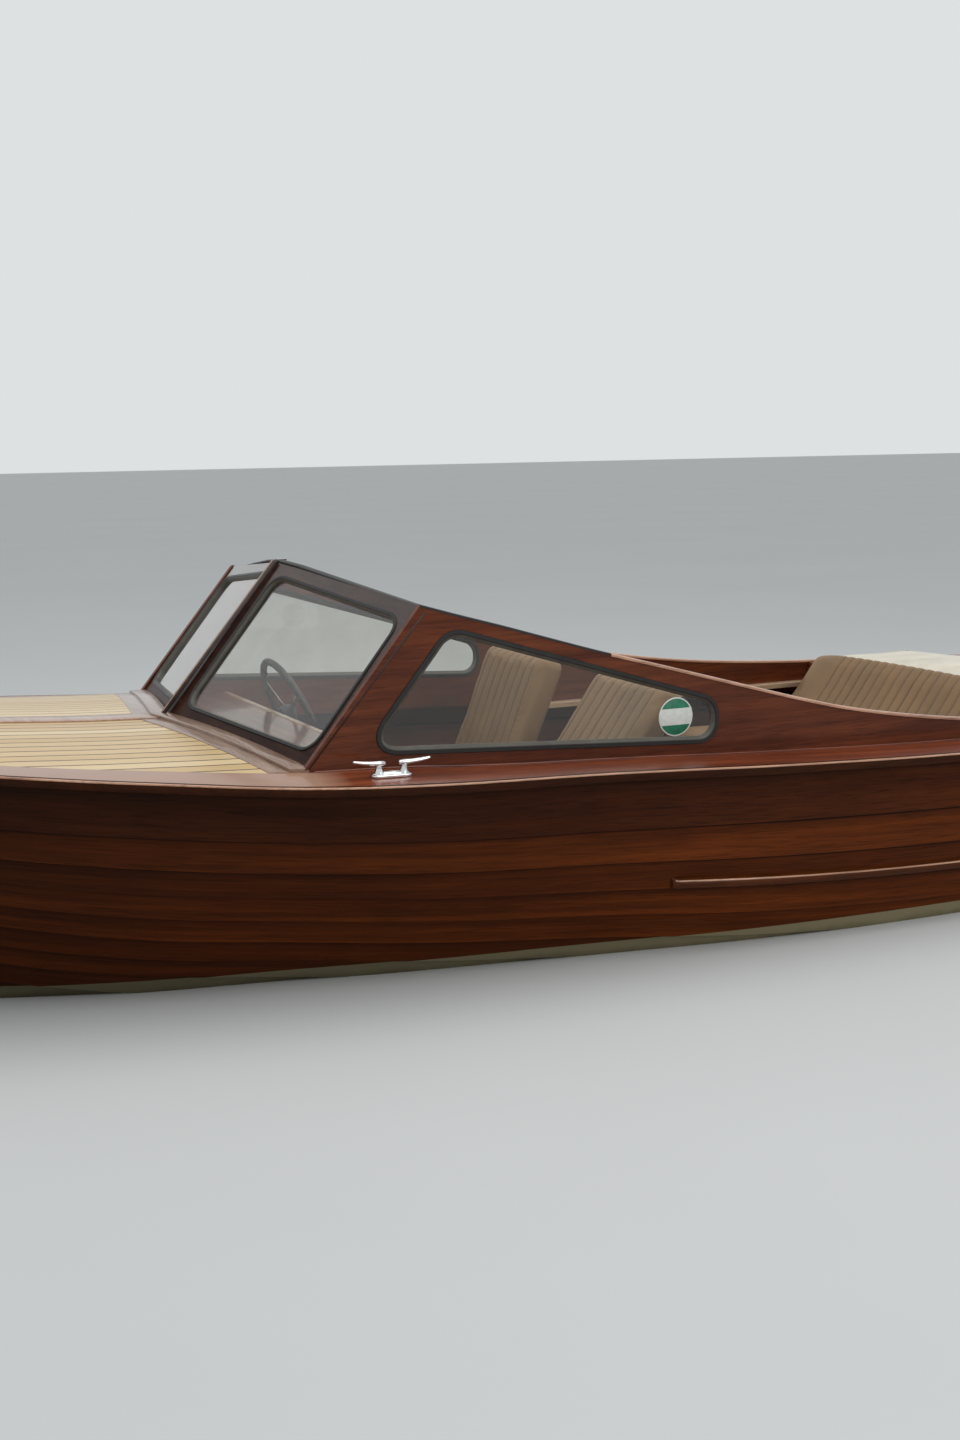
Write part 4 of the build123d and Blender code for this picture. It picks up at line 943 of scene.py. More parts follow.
class BOAT_OT_rails(bpy.types.Operator):
    """Builds the gunwale rails and the rub rails"""

    bl_idname = "boat.rails"
    bl_label = "Gunwale and rub rails"

    def gunwale_ring(self, station, side):
        ring = hull_ring(station, 1)
        sheer = ring[0]
        foot = sheer + (ring[1] - sheer) * 0.105
        bow = max(0.0, (station - 2480) / 400)
        away = Vector((bow * 0.8, 1 - 0.55 * bow, 0)).normalized()
        profile = ((foot, 0, 0), (sheer, 0, 0), (sheer, 0, DECK), (sheer, 11, DECK), (sheer, 17, 12.5))
        profile += ((sheer, 20.2, 9.5), (sheer, 20.8, 4), (sheer, 20.2, -3), (foot, 18, 2.5), (foot, 14, 0))
        places = [corner + away * out * MM + Vector((0, 0, up * MM)) for corner, out, up in profile]
        return [Vector((p.x, p.y * side, p.z)) for p in places]

    def rub_ring(self, station, side, depth):
        ring = hull_ring(station, 1)
        upper, lower = ring[4], ring[5]
        high = upper.lerp(lower, 0.62)
        middle = upper.lerp(lower, 0.81)
        half = (high - lower).length / 2
        places = [lower, high]
        for i in range(1, 8):
            turn = pi * i / 8
            places.append(middle + Vector((0, depth * sin(turn), half * 0.94 * cos(turn))))
        return [Vector((p.x, p.y * side, p.z)) for p in places]

    def execute(self, context):
        step = sizes().ring_step / MM
        for name, side in SIDES:
            bm = bmesh.new()
            stations = spread(STATIONS[0], STATIONS[-1], step, STATIONS)
            sweep(bm, [self.gunwale_ring(s, side) for s in stations])
            finish(f"gunwale_rail_{name}", bm, coats()["rail"], "boat", [f"gunwale_{name}"])
            # A thin pale bead along the gunwale's edge: a painted highlight.
            bm = bmesh.new()
            path = [self.gunwale_ring(x, side)[4].lerp(self.gunwale_ring(x, side)[5], 0.5) for x in stations]
            path = [p - Vector((0, side * 0.0013, 0.0008)) for p in path]
            moulding(bm, path, circle(0.0036, 10))
            finish(f"gunwale_highlight_bead_{name}", bm, coats()["bead"], "boat")
            bm = bmesh.new()
            ends = [(-128, 0.5), (-121, 0.32), (-120, 0.1)]
            rings = [self.rub_ring(s, side, 0.021) for s in spread(STATIONS[0], -140, step)]
            rings += [self.rub_ring(s, side, 0.021 * share + 0.004) for s, share in ends]
            sweep(bm, rings)
            finish(f"rub_moulding_{name}", bm, coats()["rub"], "boat", [f"rub_rail_{name}"])
            # A thin pale bead along the rub moulding's top: a painted highlight.
            bm = bmesh.new()
            moulding(bm, [ring[3].lerp(ring[4], 0.5) for ring in rings[:-2]], circle(0.003, 8))
            finish(f"rub_highlight_bead_{name}", bm, coats()["bead"], "boat")
        return {"FINISHED"}


class BOAT_OT_decks(bpy.types.Operator):
    """Builds the foredeck, covering boards, king plank and the margin board by the windscreen"""

    bl_idname = "boat.decks"
    bl_label = "Decks"

    def deck_half(self, bm, low, high, lift, thick):
        """The port half of a skin that follows the foredeck, open at the centreline."""
        rings = []
        for x in spread(low, high, 0.09, (0.944,)):
            inner = board_inner(max(x, 0.944)) - 0.0006
            flat = straight(KING_HALF, max(x / MM, 944)) * MM
            ys = [inner, *[flat + (inner - flat) * s for s in (0.88, 0.76, 0.64, 0.52, 0.4, 0.28, 0.14)], flat, 0]
            top = [Vector((x, y, deck_top(max(x, 0.944), y) + lift)) for y in ys]
            rings.append(top + [p - Vector((0, 0, thick)) for p in top[::-1]])
        sweep(bm, rings)

    def cut(self, bm, ahead, keep_front):
        """Cuts along the windscreen's foot line, shifted ahead."""
        mid, corner = [Vector(p) * MM for p in SCREEN_FOOT]
        line = (corner - mid).normalized()
        normal = Vector((line.y, -line.x, 0)).normalized()
        bmesh.ops.bisect_plane(
            bm, geom=bm.verts[:] + bm.edges[:] + bm.faces[:], dist=1e-6,
            plane_co=mid + normal * ahead, plane_no=normal, clear_inner=keep_front, clear_outer=not keep_front,
        )
        bmesh.ops.holes_fill(bm, edges=[e for e in bm.edges if e.is_boundary], sides=0)

    def double(self, bm):
        """Adds the other half across the centreline."""
        seam = [f for f in bm.faces if all(abs(v.co.y) < 1e-6 for v in f.verts)]
        bmesh.ops.delete(bm, geom=seam, context="FACES")
        geom = bm.verts[:] + bm.edges[:] + bm.faces[:]
        bmesh.ops.mirror(bm, geom=geom, matrix=Matrix.Identity(4), merge_dist=1e-6, axis="Y")
        bmesh.ops.remove_doubles(bm, verts=bm.verts[:], dist=1e-6)

    def execute(self, context):
        all_coats = coats()
        bm = bmesh.new()
        self.deck_half(bm, 0.92, 2.84, 0.0, DECK * MM)
        self.cut(bm, -0.028, True)
        self.double(bm)
        finish("foredeck_planks", bm, all_coats["deck"], "boat", ["foredeck"])
        bm = bmesh.new()
        self.deck_half(bm, 0.92, 1.35, 0.0022, 0.004)
        self.cut(bm, -0.004, True)
        self.cut(bm, 0.006 + sizes().margin_width, False)
        self.double(bm)
        finish("margin_board", bm, all_coats["plinth"], "boat", bevel=0.0008)
        bm = bmesh.new()
        self.deck_half(bm, 0.92, 1.35, 0.0115, 0.011)
        self.cut(bm, -0.004, True)
        self.cut(bm, 0.050, False)
        self.double(bm)
        finish("screen_plinth", bm, all_coats["plinth"], "boat", bevel=0.001)
        bm = bmesh.new()
        rings = []
        for x in spread(1.132, 2.84, 0.09, (2.48,)):
            half = straight(KING_HALF, x / MM) * MM - 0.001
            z = deck_top(x, 0)
            rings.append([Vector((x, y, z + h)) for y, h in ((half, 0), (half, 0.005), (-half, 0.005), (-half, 0))])
        sweep(bm, rings)
        finish("king_board", bm, all_coats["bleached"], "boat", ["king_plank"], bevel=0.0012)
        for name, side in SIDES:
            bm = bmesh.new()
            rings = []
            for x in spread(-2.85, 2.84, 0.1, [s * MM for s in STATIONS] + [0.944]):
                half, height = sheer_at(x)
                inner = board_inner(x)
                top = board_top(x, inner)
                ring = [(half, height), (half, height + DECK * MM)]
                ring += [((half + inner) / 2, board_top(x, (half + inner) / 2) + 0.0012), (inner, top)]
                ring += [(inner, top - DECK * MM)]
                rings.append([Vector((x, y * side, z)) for y, z in ring])
            sweep(bm, rings)
            finish(f"deck_board_{name}", bm, all_coats["side_deck"], "boat", [f"covering_board_{name}"])
        dress("aft_deck", all_coats["board"])
        return {"FINISHED"}


class BOAT_OT_windscreen(bpy.types.Operator):
    """Builds the windscreen's gaskets, trims, corner mouldings and centre strips"""

    bl_idname = "boat.windscreen"
    bl_label = "Windscreen"

    def execute(self, context):
        all_coats = coats()
        s = sizes()
        opening = grown([(x * MM, y * MM) for x, y in SCREEN_PANE], -SCREEN_FACE * MM)
        radii = [SCREEN_RADIUS * MM] * 4
        for name, side in SIDES:
            low = -SCREEN_THICK * MM - s.gasket_proud
            made = gaskets(opening, radii, 0.007, s.screen_gasket - 0.007, low, s.gasket_proud)
            for kind, coat, bm in zip(("gasket", "lip"), ("rubber", "lip"), made):
                bmesh.ops.transform(bm, matrix=screen_place(side), verts=bm.verts[:])
                finish(f"screen_{kind}_{name}", bm, all_coats[coat], "boat")
            bm = bmesh.new()
            head_mid, head_corner = [Vector(p) * MM for p in SCREEN_HEAD]
            lift = Vector((-0.004, 0, 0.001))
            ends = [head_mid + lift, head_corner + lift + Vector((0, 0.004, 0))]
            path = [ends[0].lerp(ends[1], i / 6) for i in range(7)]
            path[0].z -= 0.005
            path = [Vector((p.x, p.y * side, p.z)) for p in path]
            moulding(bm, path, [(-0.013, -0.002), (-0.013, 0.001), (-0.008, 0.0035), (0.008, 0.0035), (0.013, 0.001), (0.013, -0.002)])
            finish(f"screen_top_trim_{name}", bm, all_coats["rubber"], "boat")
            bm = bmesh.new()
            foot = Vector(SCREEN_FOOT[1]) * MM + Vector((0.0, -0.004, 0.006))
            top = head_corner + Vector((0.0, 0.002, -0.006))
            path = [foot.lerp(top, i / 8) for i in range(9)]
            path = [Vector((p.x, p.y * side, p.z)) for p in path]
            moulding(bm, path, circle(0.0052, 14), Vector((1, 0, 0)))
            finish(f"corner_moulding_{name}", bm, all_coats["frame"], "boat")
            dress(f"screen_frame_{name}", all_coats["frame"])
            dress(f"screen_glass_{name}", all_coats["glass"])
        bm = bmesh.new()
        foot = Vector((1.1095, 0, 0.694))
        top = Vector((0.7315, 0, 1.153))
        path = [foot.lerp(top, i / 6) for i in range(7)]
        moulding(bm, path, [(-0.017, 0), (-0.016, 0.004), (-0.009, 0.008), (0.009, 0.008), (0.016, 0.004), (0.017, 0)], Vector((1, 0, 1)))
        finish("screen_centre_strip", bm, all_coats["frame"], "boat")
        # A thin pale bead down the centre strip: a painted highlight.
        bm = bmesh.new()
        path = [p + Vector((0.0055, 0, 0.005)) for p in path]
        moulding(bm, path, [(-0.0026, 0), (-0.0018, 0.0016), (0.0018, 0.0016), (0.0026, 0)], Vector((1, 0, 1)))
        finish("screen_centre_highlight_bead", bm, all_coats["pale"], "boat")
        dress("screen_post", all_coats["frame"])
        return {"FINISHED"}


class BOAT_OT_coamings(bpy.types.Operator):
    """Builds the coamings' caps and the pale beads along their feet as painted highlights, and the gaskets of the side
    windows
    """

    bl_idname = "boat.coamings"
    bl_label = "Coamings"

    def execute(self, context):
        all_coats = coats()
        s = sizes()
        corners = [(x * MM, z * MM) for x, z in WINDOW]
        radii = [r * MM for r in WINDOW_RADII]
        middle = COAMING_OUT - COAMING_THICK / 2
        for name, side in SIDES:
            thick = COAMING_THICK + 2 * s.gasket_proud
            made = gaskets(corners, radii, 0.011, s.side_gasket - 0.011, 0, thick)
            out = side * (COAMING_OUT + s.gasket_proud)
            stand = Matrix(((1, 0, 0, 0), (0, 0, -side, out), (0, 1, 0, 0), (0, 0, 0, 1)))
            for kind, coat, bm in zip(("gasket", "lip"), ("rubber", "lip"), made):
                bmesh.ops.transform(bm, matrix=stand, verts=bm.verts[:])
                finish(f"window_{kind}_{name}", bm, all_coats[coat], "boat")
            bm = bmesh.new()
            path = [Vector((x, side * middle, coaming_top(x))) for x in spread(s.cap_start, 0.602, 0.05)]
            moulding(bm, path, [(-0.011, -0.003), (-0.011, 0.002), (-0.006, 0.004), (0.006, 0.004), (0.011, 0.002), (0.011, -0.003)])
            finish(f"coaming_trim_{name}", bm, all_coats["rubber"], "boat")
            # The cap is painted pale, as the highlight along its rounded top.
            bm = bmesh.new()
            path = [Vector((x, side * middle, coaming_top(x))) for x in spread(-2.449, s.cap_start, 0.05)]
            w = s.cap_half
            cap = [(-w, -0.005), (-w, 0.0), (-w * 0.85, 0.0025), (-w * 0.5, 0.004), (0, 0.0046)]
            cap += [(-x, z) for x, z in cap[3::-1]]
            moulding(bm, path, cap)
            finish(f"coaming_cap_{name}", bm, all_coats["bead"], "boat")
            # A thin lightened bead along the coaming's foot: a painted highlight on its joint with the covering board.
            bm = bmesh.new()
            path = [Vector((x, side * (COAMING_OUT + 0.002), board_top(x, COAMING_OUT) + 0.001)) for x in spread(-2.449, 0.93, 0.08)]
            moulding(bm, path, circle(0.0032, 10))
            finish(f"coaming_highlight_bead_{name}", bm, all_coats["cap"], "boat")
            # The inner ledges are painted pale as the sheen on their tops.
            bm = bmesh.new()
            inner = side * (COAMING_OUT - COAMING_THICK)
            path = [Vector((x, inner - side * 0.019, 0.478)) for x in spread(-1.9, -0.46, 0.12)]
            moulding(bm, path, [(-0.019, -0.010), (-0.019, 0.008), (-0.016, 0.011), (0.016, 0.011), (0.019, 0.008), (0.019, -0.010)])
            finish(f"inner_ledge_{name}", bm, all_coats["pale"], "boat")
            bm = bmesh.new()
            bm.from_mesh(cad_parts[f"coaming_{name}"].data)
            bmesh.ops.remove_doubles(bm, verts=bm.verts[:], dist=1e-5)
            for vert in bm.verts:
                for x, z in COAMING_TOP:
                    if abs(vert.co.x - x * MM) < 1e-4 and vert.co.z > z * MM - 0.03:
                        vert.co.z = z * MM
            finish(f"coaming_panel_{name}", bm, all_coats["panel"], "boat", [f"coaming_{name}"])
            dress(f"side_glass_{name}", all_coats["glass"])
        dress("aft_coaming", all_coats["cross"])
        bm = bmesh.new()
        x, y, z = LABEL
        facing = Matrix(((1, 0, 0, x), (0, 0, 1, y), (0, -1, 0, z), (0, 0, 0, 1)))
        turned(bm, [(0, 0.0006), (0.0585, 0.0006), (0.059, 0.0003), (0.059, 0), (0, 0)], 64, facing)
        finish("window_label", bm, all_coats["label"], "boat")
        return {"FINISHED"}


class BOAT_OT_helm(bpy.types.Operator):
    """Builds the steering wheel, the dashboard's moulding and its gauges"""

    bl_idname = "boat.helm"
    bl_label = "Helm and dashboard"

    def wheel_place(self):
        forward = Vector((cos(WHEEL_RAKE), 0, -sin(WHEEL_RAKE)))
        across = Vector((0, 1, 0))
        place = Matrix((across, forward.cross(across), forward)).transposed().to_4x4()
        place.translation = Vector(WHEEL_CENTRE)
        return place

    def execute(self, context):
        all_coats = coats()
        place = self.wheel_place()
        bm = bmesh.new()
        rim = [(0.19 + 0.0128 * cos(2 * pi * i / 16), 0.0118 * sin(2 * pi * i / 16)) for i in range(17)]
        turned(bm, rim, 96, place)
        finish("wheel_rim", bm, all_coats["grip"], "helm", ["steering_wheel"], outward=True)
        bm = bmesh.new()
        hub = [(0, -0.014), (0.012, -0.0135), (0.021, -0.0105), (0.0245, -0.004), (0.03, 0.0), (0.033, 0.008), (0.034, 0.012)]
        hub += [(0.034, 0.036), (0.03, 0.04), (0.012, 0.0402), (0.012, 0.148), (0, 0.148)]
        turned(bm, hub, 40, place)
        finish("wheel_hub", bm, all_coats["iron"], "helm")
        bm = bmesh.new()
        for angle in (30, 150, 270):
            turn = radians(angle)
            out = Vector((cos(turn), sin(turn), 0))
            path = [out * r + Vector((0, 0, z)) for r, z in ((0.026, 0.01), (0.06, 0.009), (0.11, 0.005), (0.15, 0.002), (0.182, 0.0))]
            widths = (0.012, 0.011, 0.009, 0.0075, 0.0085)
            rings = []
            for spot, ring, width in zip(path, path_rings(path, circle(1.0, 16, 0.24), Vector((0, 0, 1))), widths):
                rings.append([spot + (p - spot) * width for p in ring])
            sweep(bm, rings)
        bmesh.ops.transform(bm, matrix=place, verts=bm.verts[:])
        finish("wheel_spokes", bm, all_coats["chrome"], "helm")
        dress("steering_column", all_coats["chrome"])
        dress("dashboard", all_coats["cross"])
        # The dash moulding is painted pale as its highlight.
        bm = bmesh.new()
        path = [Vector((0.643, y, 0.6195)) for y in spread(-0.829, 0.829, 0.2)]
        profile = [(0.006, -0.014), (-0.004, -0.014), (-0.0085, -0.009), (-0.0095, -0.003), (-0.006, 0.002), (0.002, 0.0042), (0.010, 0.0038), (0.012, 0.0)]
        moulding(bm, path, [(-x, z) for x, z in profile])
        finish("dash_moulding", bm, all_coats["pale"], "boat")
        facing = Matrix(((0, 0, 1, 0), (-1, 0, 0, 0), (0, -1, 0, 0), (0, 0, 0, 1)))
        bezels, dials = bmesh.new(), bmesh.new()
        for y, z, r in ((-0.61, 0.515, 0.044), (-0.12, 0.515, 0.044), (0.0, 0.515, 0.034), (0.1, 0.515, 0.034)):
            spot = Matrix.Translation((0.644, y, z)) @ facing
            ring = [(r - 0.006, -0.001), (r - 0.006, -0.004), (r - 0.003, -0.0085), (r, -0.007), (r + 0.0025, 0.0)]
            turned(bezels, ring, 40, spot)
            turned(dials, [(0, -0.0024), (0.004, -0.0024), (r - 0.0055, -0.0022), (r - 0.0055, 0.0)], 40, spot)
        for y in (0.2, 0.24, 0.28, 0.32):
            spot = Matrix.Translation((0.644, y, 0.515)) @ facing
            turned(bezels, [(0, -0.016), (0.004, -0.0155), (0.005, -0.012), (0.004, -0.004), (0.008, -0.003), (0.009, 0)], 24, spot)
        finish("gauge_bezels", bezels, all_coats["chrome"], "boat")
        finish("gauge_dials", dials, all_coats["dial"], "boat")
        return {"FINISHED"}


# Seats: y_low, y_high, x_aft, x_fore, base_top, cushion_top, back foot x, back top x, back top z, back thickness
SEATS = {
    "front_seat_port": (0.1, 0.6, -0.19, 0.38, 0.27, 0.385, -0.002, -0.37, 0.767, 0.095),
    "front_seat_starboard": (-0.6, -0.1, -0.23, 0.38, 0.27, 0.385, -0.084, -0.292, 0.785, 0.095),
    "aft_bench": (-0.7, 0.7, -1.8, -1.15, 0.255, 0.37, -1.522, -1.862, 0.625, 0.07),
}
PLAIN_BORDER = {"front_seat_port": 0.07, "front_seat_starboard": 0.07, "aft_bench": 0.22}
PAD = (-0.765, 0.765, -2.4, -1.922, 0.5633, 0.602)
PAD_CROWN = 0.034
BENCH_ROLL = 0.036


def block(bm, wide, tall, deep, corner, edge):
    """A pattern for a cushion: a rounded outline of wide by tall, deep along Z, with rounded rims."""
    x, y = wide / 2, tall / 2
    rounded_face(bm, [(-x, -y), (x, -y), (x, y), (-x, y)], [corner] * 4, 6)
    set_depth(bm, 0, deep)
    bmesh.ops.recalc_face_normals(bm, faces=bm.faces[:])
    soften(bm, edge, 4, 60)


def pattern(name, place, wide, tall, deep, corner, edge, voxel):
    """A cushion's cover before it is filled, remeshed evenly."""
    bm = bmesh.new()
    block(bm, wide, tall, deep, corner, edge)
    bmesh.ops.transform(bm, matrix=place, verts=bm.verts[:])
    mesh = bpy.data.meshes.new(name)
    bm.to_mesh(mesh)
    bm.free()
    piece = bpy.data.objects.new(name, mesh)
    bpy.context.scene.collection.objects.link(piece)
    even = piece.modifiers.new("even", "REMESH")
    even.mode = "VOXEL"
    even.voxel_size = voxel
    bake_modifiers(piece)
    return piece


def bake_modifiers(piece):
    """Replaces a piece's mesh by what its modifiers make of it."""
    graph = bpy.context.evaluated_depsgraph_get()
    made = bpy.data.meshes.new_from_object(piece.evaluated_get(graph))
    old = piece.data
    piece.modifiers.clear()
    piece.data = made
    bpy.data.meshes.remove(old)
    made.name = piece.name


def swell_together(pieces, cap):
    """Fills the covers by a short cloth run, and keeps each point near its pattern."""
    rest = {piece: [v.co.copy() for v in piece.data.vertices] for piece in pieces}
    for piece in pieces:
        cloth = piece.modifiers.new("filling", "CLOTH")
        cloth.settings.quality = 4
        cloth.settings.mass = 0.3
        cloth.settings.use_pressure = True
        cloth.settings.uniform_pressure_force = 4
        cloth.settings.effector_weights.gravity = 0
        cloth.point_cache.frame_start = 1
        cloth.point_cache.frame_end = sizes().swell_frames
    for number in range(1, sizes().swell_frames + 1):
        bpy.context.scene.frame_set(number)
    for piece in pieces:
        bake_modifiers(piece)
        for vert, home in zip(piece.data.vertices, rest[piece]):
            move = vert.co - home
            if move.length > cap:
                vert.co = home + move.normalized() * cap
    bpy.context.scene.frame_set(1)


def refine(piece):
    """Smooths a filled cover by one subdivision."""
    finer = piece.modifiers.new("finer", "SUBSURF")
    finer.levels = 1
    finer.render_levels = 1
    bake_modifiers(piece)


def sew_channels(piece, middle, half, facing, border):
    """Draws the cover in along straight seams across Y, on the side that faces one way."""
    s = sizes()
    lanes = round(2 * (half - border) / s.channel)
    pitch = 2 * (half - border) / lanes
    mesh = piece.data
    normals = [v.normal.copy() for v in mesh.vertices]
    seams = mesh.attributes.new("seam", "FLOAT", "POINT").data
    for vert, normal, seam in zip(mesh.vertices, normals, seams):
        front = min(1.0, max(0.0, (normal.dot(facing) - 0.05) / 0.5))
        across = (vert.co.y - middle) / pitch + lanes / 2
        if 0 < across < lanes:
            dip = 1 - sqrt(max(0.0, 1 - (2 * (across % 1.0) - 1) ** 2))
        else:
            beyond = max(-across, across - lanes) * pitch
            dip = max(0.0, 1 - beyond / 0.012) ** 2
        vert.co -= normal * s.channel_depth * front * dip
        # The seam attribute holds how far each point is drawn in; the vinyl paints shade by it.
        seam.value = front * dip


def crown(piece):
    """Domes the sun pad, a little lower towards the stern."""
    y_low, y_high, x_aft, x_fore, base, top = PAD
    for vert in piece.data.vertices:
        share = min(1.0, max(0.0, (vert.co.z - base) / (top - base)))
        across = max(0.0, 1 - (vert.co.y / y_high) ** 2)
        along = max(0.0, 1 - ((2 * vert.co.x - x_aft - x_fore) / (x_fore - x_aft)) ** 4)
        fall = 0.008 + 0.002 * (x_fore - vert.co.x) / (x_fore - x_aft)
        vert.co.z += share * (PAD_CROWN * across * along - fall)


def roll_top(piece):
    """Raises the aft bench's back to a full roll along its front upper edge."""
    y_low, y_high, x_aft, x_fore, base, top, foot_x, top_x, top_z, thick = SEATS["aft_bench"]
    for vert in piece.data.vertices:
        rise = min(1.0, max(0.0, (vert.co.z - top_z + 0.18) / 0.17)) ** 2
        front = min(1.0, max(0.0, (vert.co.x - top_x + 0.038) / 0.03))
        across = max(0.0, 1 - (vert.co.y / y_high) ** 8) + 0.35 * max(0.0, 1 - (vert.co.y / y_high) ** 2)
        vert.co.z += BENCH_ROLL * rise * front * front * (3 - 2 * front) * across


class BOAT_OT_seats(bpy.types.Operator):
    """Fills and sews the seats, the aft bench and the sun pad"""

    bl_idname = "boat.seats"
    bl_label = "Upholstery"

    def execute(self, context):
        all_coats = coats()
        jobs = []
        for name, row in SEATS.items():
            y_low, y_high, x_aft, x_fore, base, top, foot_x, top_x, top_z, thick = row
            middle, wide = (y_low + y_high) / 2, y_high - y_low
            voxel = 0.008 if wide < 1 else 0.0105
            aft, fore = foot_x + 0.008, x_fore + 0.015
            place = Matrix.Translation(((aft + fore) / 2, middle, base + 0.001))
            args = (fore - aft - 0.012, wide - 0.012, top - base - 0.012, 0.03, 0.02, voxel)
            job = {"name": f"{name}_cushion", "place": place, "args": args, "facing": Vector((0, 0, 1))}
            job["border"] = PLAIN_BORDER[name]
            job.update(middle=middle, half=wide / 2, coat="vinyl", slot="tan_vinyl", body="boat", floor=base + 0.0008)
            jobs.append(job)
            lean = Vector((top_x - foot_x, 0, top_z - base))
            up = lean.normalized()
            front = Vector((up.z, 0, -up.x))
            foot = Vector((foot_x, middle, base))
            drop = (thick * -up.x - 0.020 * (up.z - up.x - 1)) / up.z
            centre = foot + up * (lean.length + drop) / 2 - front * (thick - 0.006)
            across = up.cross(front)
            place = Matrix((up, across, front)).transposed().to_4x4()
            place.translation = centre
            args = (lean.length - drop - 0.012, wide - 0.012, thick - 0.012, 0.034, 0.024, voxel)
            job = {"name": f"{name}_back", "place": place, "args": args, "facing": front}
            job["border"] = PLAIN_BORDER[name]
            job.update(middle=middle, half=wide / 2, coat="vinyl", slot="tan_vinyl", body="boat", floor=base + 0.0008)
            jobs.append(job)
        y_low, y_high, x_aft, x_fore, base, top = PAD
        place = Matrix.Translation(((x_aft + x_fore) / 2, 0, base + 0.0006))
        args = (x_fore - x_aft - 0.012, y_high - y_low - 0.012, top - base - 0.010, 0.05, 0.016, 0.012)
        job = {"name": "hatch_pad", "place": place, "args": args, "facing": None}
        job.update(middle=0, half=y_high, coat="cream", slot="cream_vinyl", body="hatch", floor=base + 0.0003)
        jobs.append(job)
        for job in jobs:
            job["piece"] = pattern(f"{job['name']}_cover", job["place"], *job["args"])
        swell_together([job["piece"] for job in jobs], sizes().swell)
        for job in jobs:
            piece = job["piece"]
            refine(piece)
            if job["facing"]:
                if job["name"] == "aft_bench_back":
                    roll_top(piece)
                sew_channels(piece, job["middle"], job["half"], job["facing"], job["border"])
            else:
                crown(piece)
            for vert in piece.data.vertices:
                vert.co.z = max(vert.co.z, job["floor"])
            piece.data.materials.clear()
            piece.data.materials.append(all_coats[job["coat"]])
            piece.data.shade_smooth()
            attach(piece, job["body"])
            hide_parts(job["name"])
        for name in SEATS:
            dress(f"{name}_base", all_coats["upright"])
        return {"FINISHED"}


class BOAT_OT_joinery(bpy.types.Operator):
    """Finishes the sole, bulkheads, hatch lid and hinges"""

    bl_idname = "boat.joinery"
    bl_label = "Inside joinery"

    def execute(self, context):
        all_coats = coats()
        dress("cockpit_sole", all_coats["sole"])
        for node in ("front_bulkhead", "engine_bulkhead", "hatch_lid"):
            dress(node, all_coats["cross"])
        for name, side in SIDES:
            dress(f"hatch_hinge_{name}", all_coats["chrome"])
        return {"FINISHED"}


class BOAT_OT_fittings(bpy.types.Operator):
    """Builds the mooring cleats and finishes the bow eye"""

    bl_idname = "boat.fittings"
    bl_label = "Deck fittings"

    def execute(self, context):
        all_coats = coats()
        x = 0.733
        half, height = sheer_at(x)
        y = (half + COAMING_OUT) / 2
        dx = (board_top(x + 0.06, y) - board_top(x - 0.06, y)) / 0.12
        dy = (board_top(x, y + 0.017) - board_top(x, y - 0.017)) / 0.034
        for name, side in SIDES:
            normal = Vector((-dx, -dy * side, 1)).normalized()
            along = Vector((1, 0, dx)).normalized()
            across = normal.cross(along)
            place = Matrix((along, across, normal)).transposed().to_4x4()
            place.translation = Vector((x, y * side, board_top(x, y) + 0.0006))
            bm = bmesh.new()
            rounded_face(bm, [(-0.06, -0.017), (0.06, -0.017), (0.06, 0.017), (-0.06, 0.017)], [0.0155] * 4, 8)
            set_depth(bm, 0, 0.0085)
            soften(bm, 0.0022, 3, 60)
            saddle = [Vector((a, 0, b)) for a, b in ((-0.054, 0.005), (-0.05, 0.0075), (-0.03, 0.0095), (0, 0.010))]
            saddle += [Vector((-p.x, 0, p.z)) for p in saddle[2::-1]]
            tube(bm, saddle, (0.003, 0.0065, 0.010, 0.0108, 0.010, 0.0065, 0.003), Vector((0, 0, 1)), 16, 0.55)
            for end in (-1, 1):
                leg = [Vector((end * a, 0, b)) for a, b in ((0.036, 0.008), (0.0365, 0.0145), (0.037, 0.022), (0.0375, 0.030), (0.038, 0.036))]
                tube(bm, leg, (0.0150, 0.0128, 0.0098, 0.0082, 0.0076), Vector((1, 0, 0)))
                horn = ((0.0195, 0.0385, 0.001), (0.0205, 0.0385, 0.0045), (0.026, 0.0384, 0.0068), (0.04, 0.0386, 0.0078))
                horn += ((0.06, 0.0395, 0.0068), (0.085, 0.042, 0.0056), (0.104, 0.045, 0.0046), (0.1125, 0.0467, 0.0036), (0.115, 0.0472, 0.001))
                tube(bm, [Vector((end * a, 0, b)) for a, b, r in horn], [r for a, b, r in horn], Vector((0, 0, 1)))
                for bolt in (0.0505, 0.021):
                    cap = [(0, 0.0108), (0.002, 0.0107), (0.0038, 0.0095), (0.0042, 0.0078)]
                    turned(bm, cap, 16, Matrix.Translation((end * bolt, 0, 0)))
            bmesh.ops.transform(bm, matrix=place, verts=bm.verts[:])
            finish(f"mooring_cleat_{name}", bm, all_coats["chrome"], "boat", [f"cleat_{name}"])
        dress("bow_eye", all_coats["chrome"])
        return {"FINISHED"}


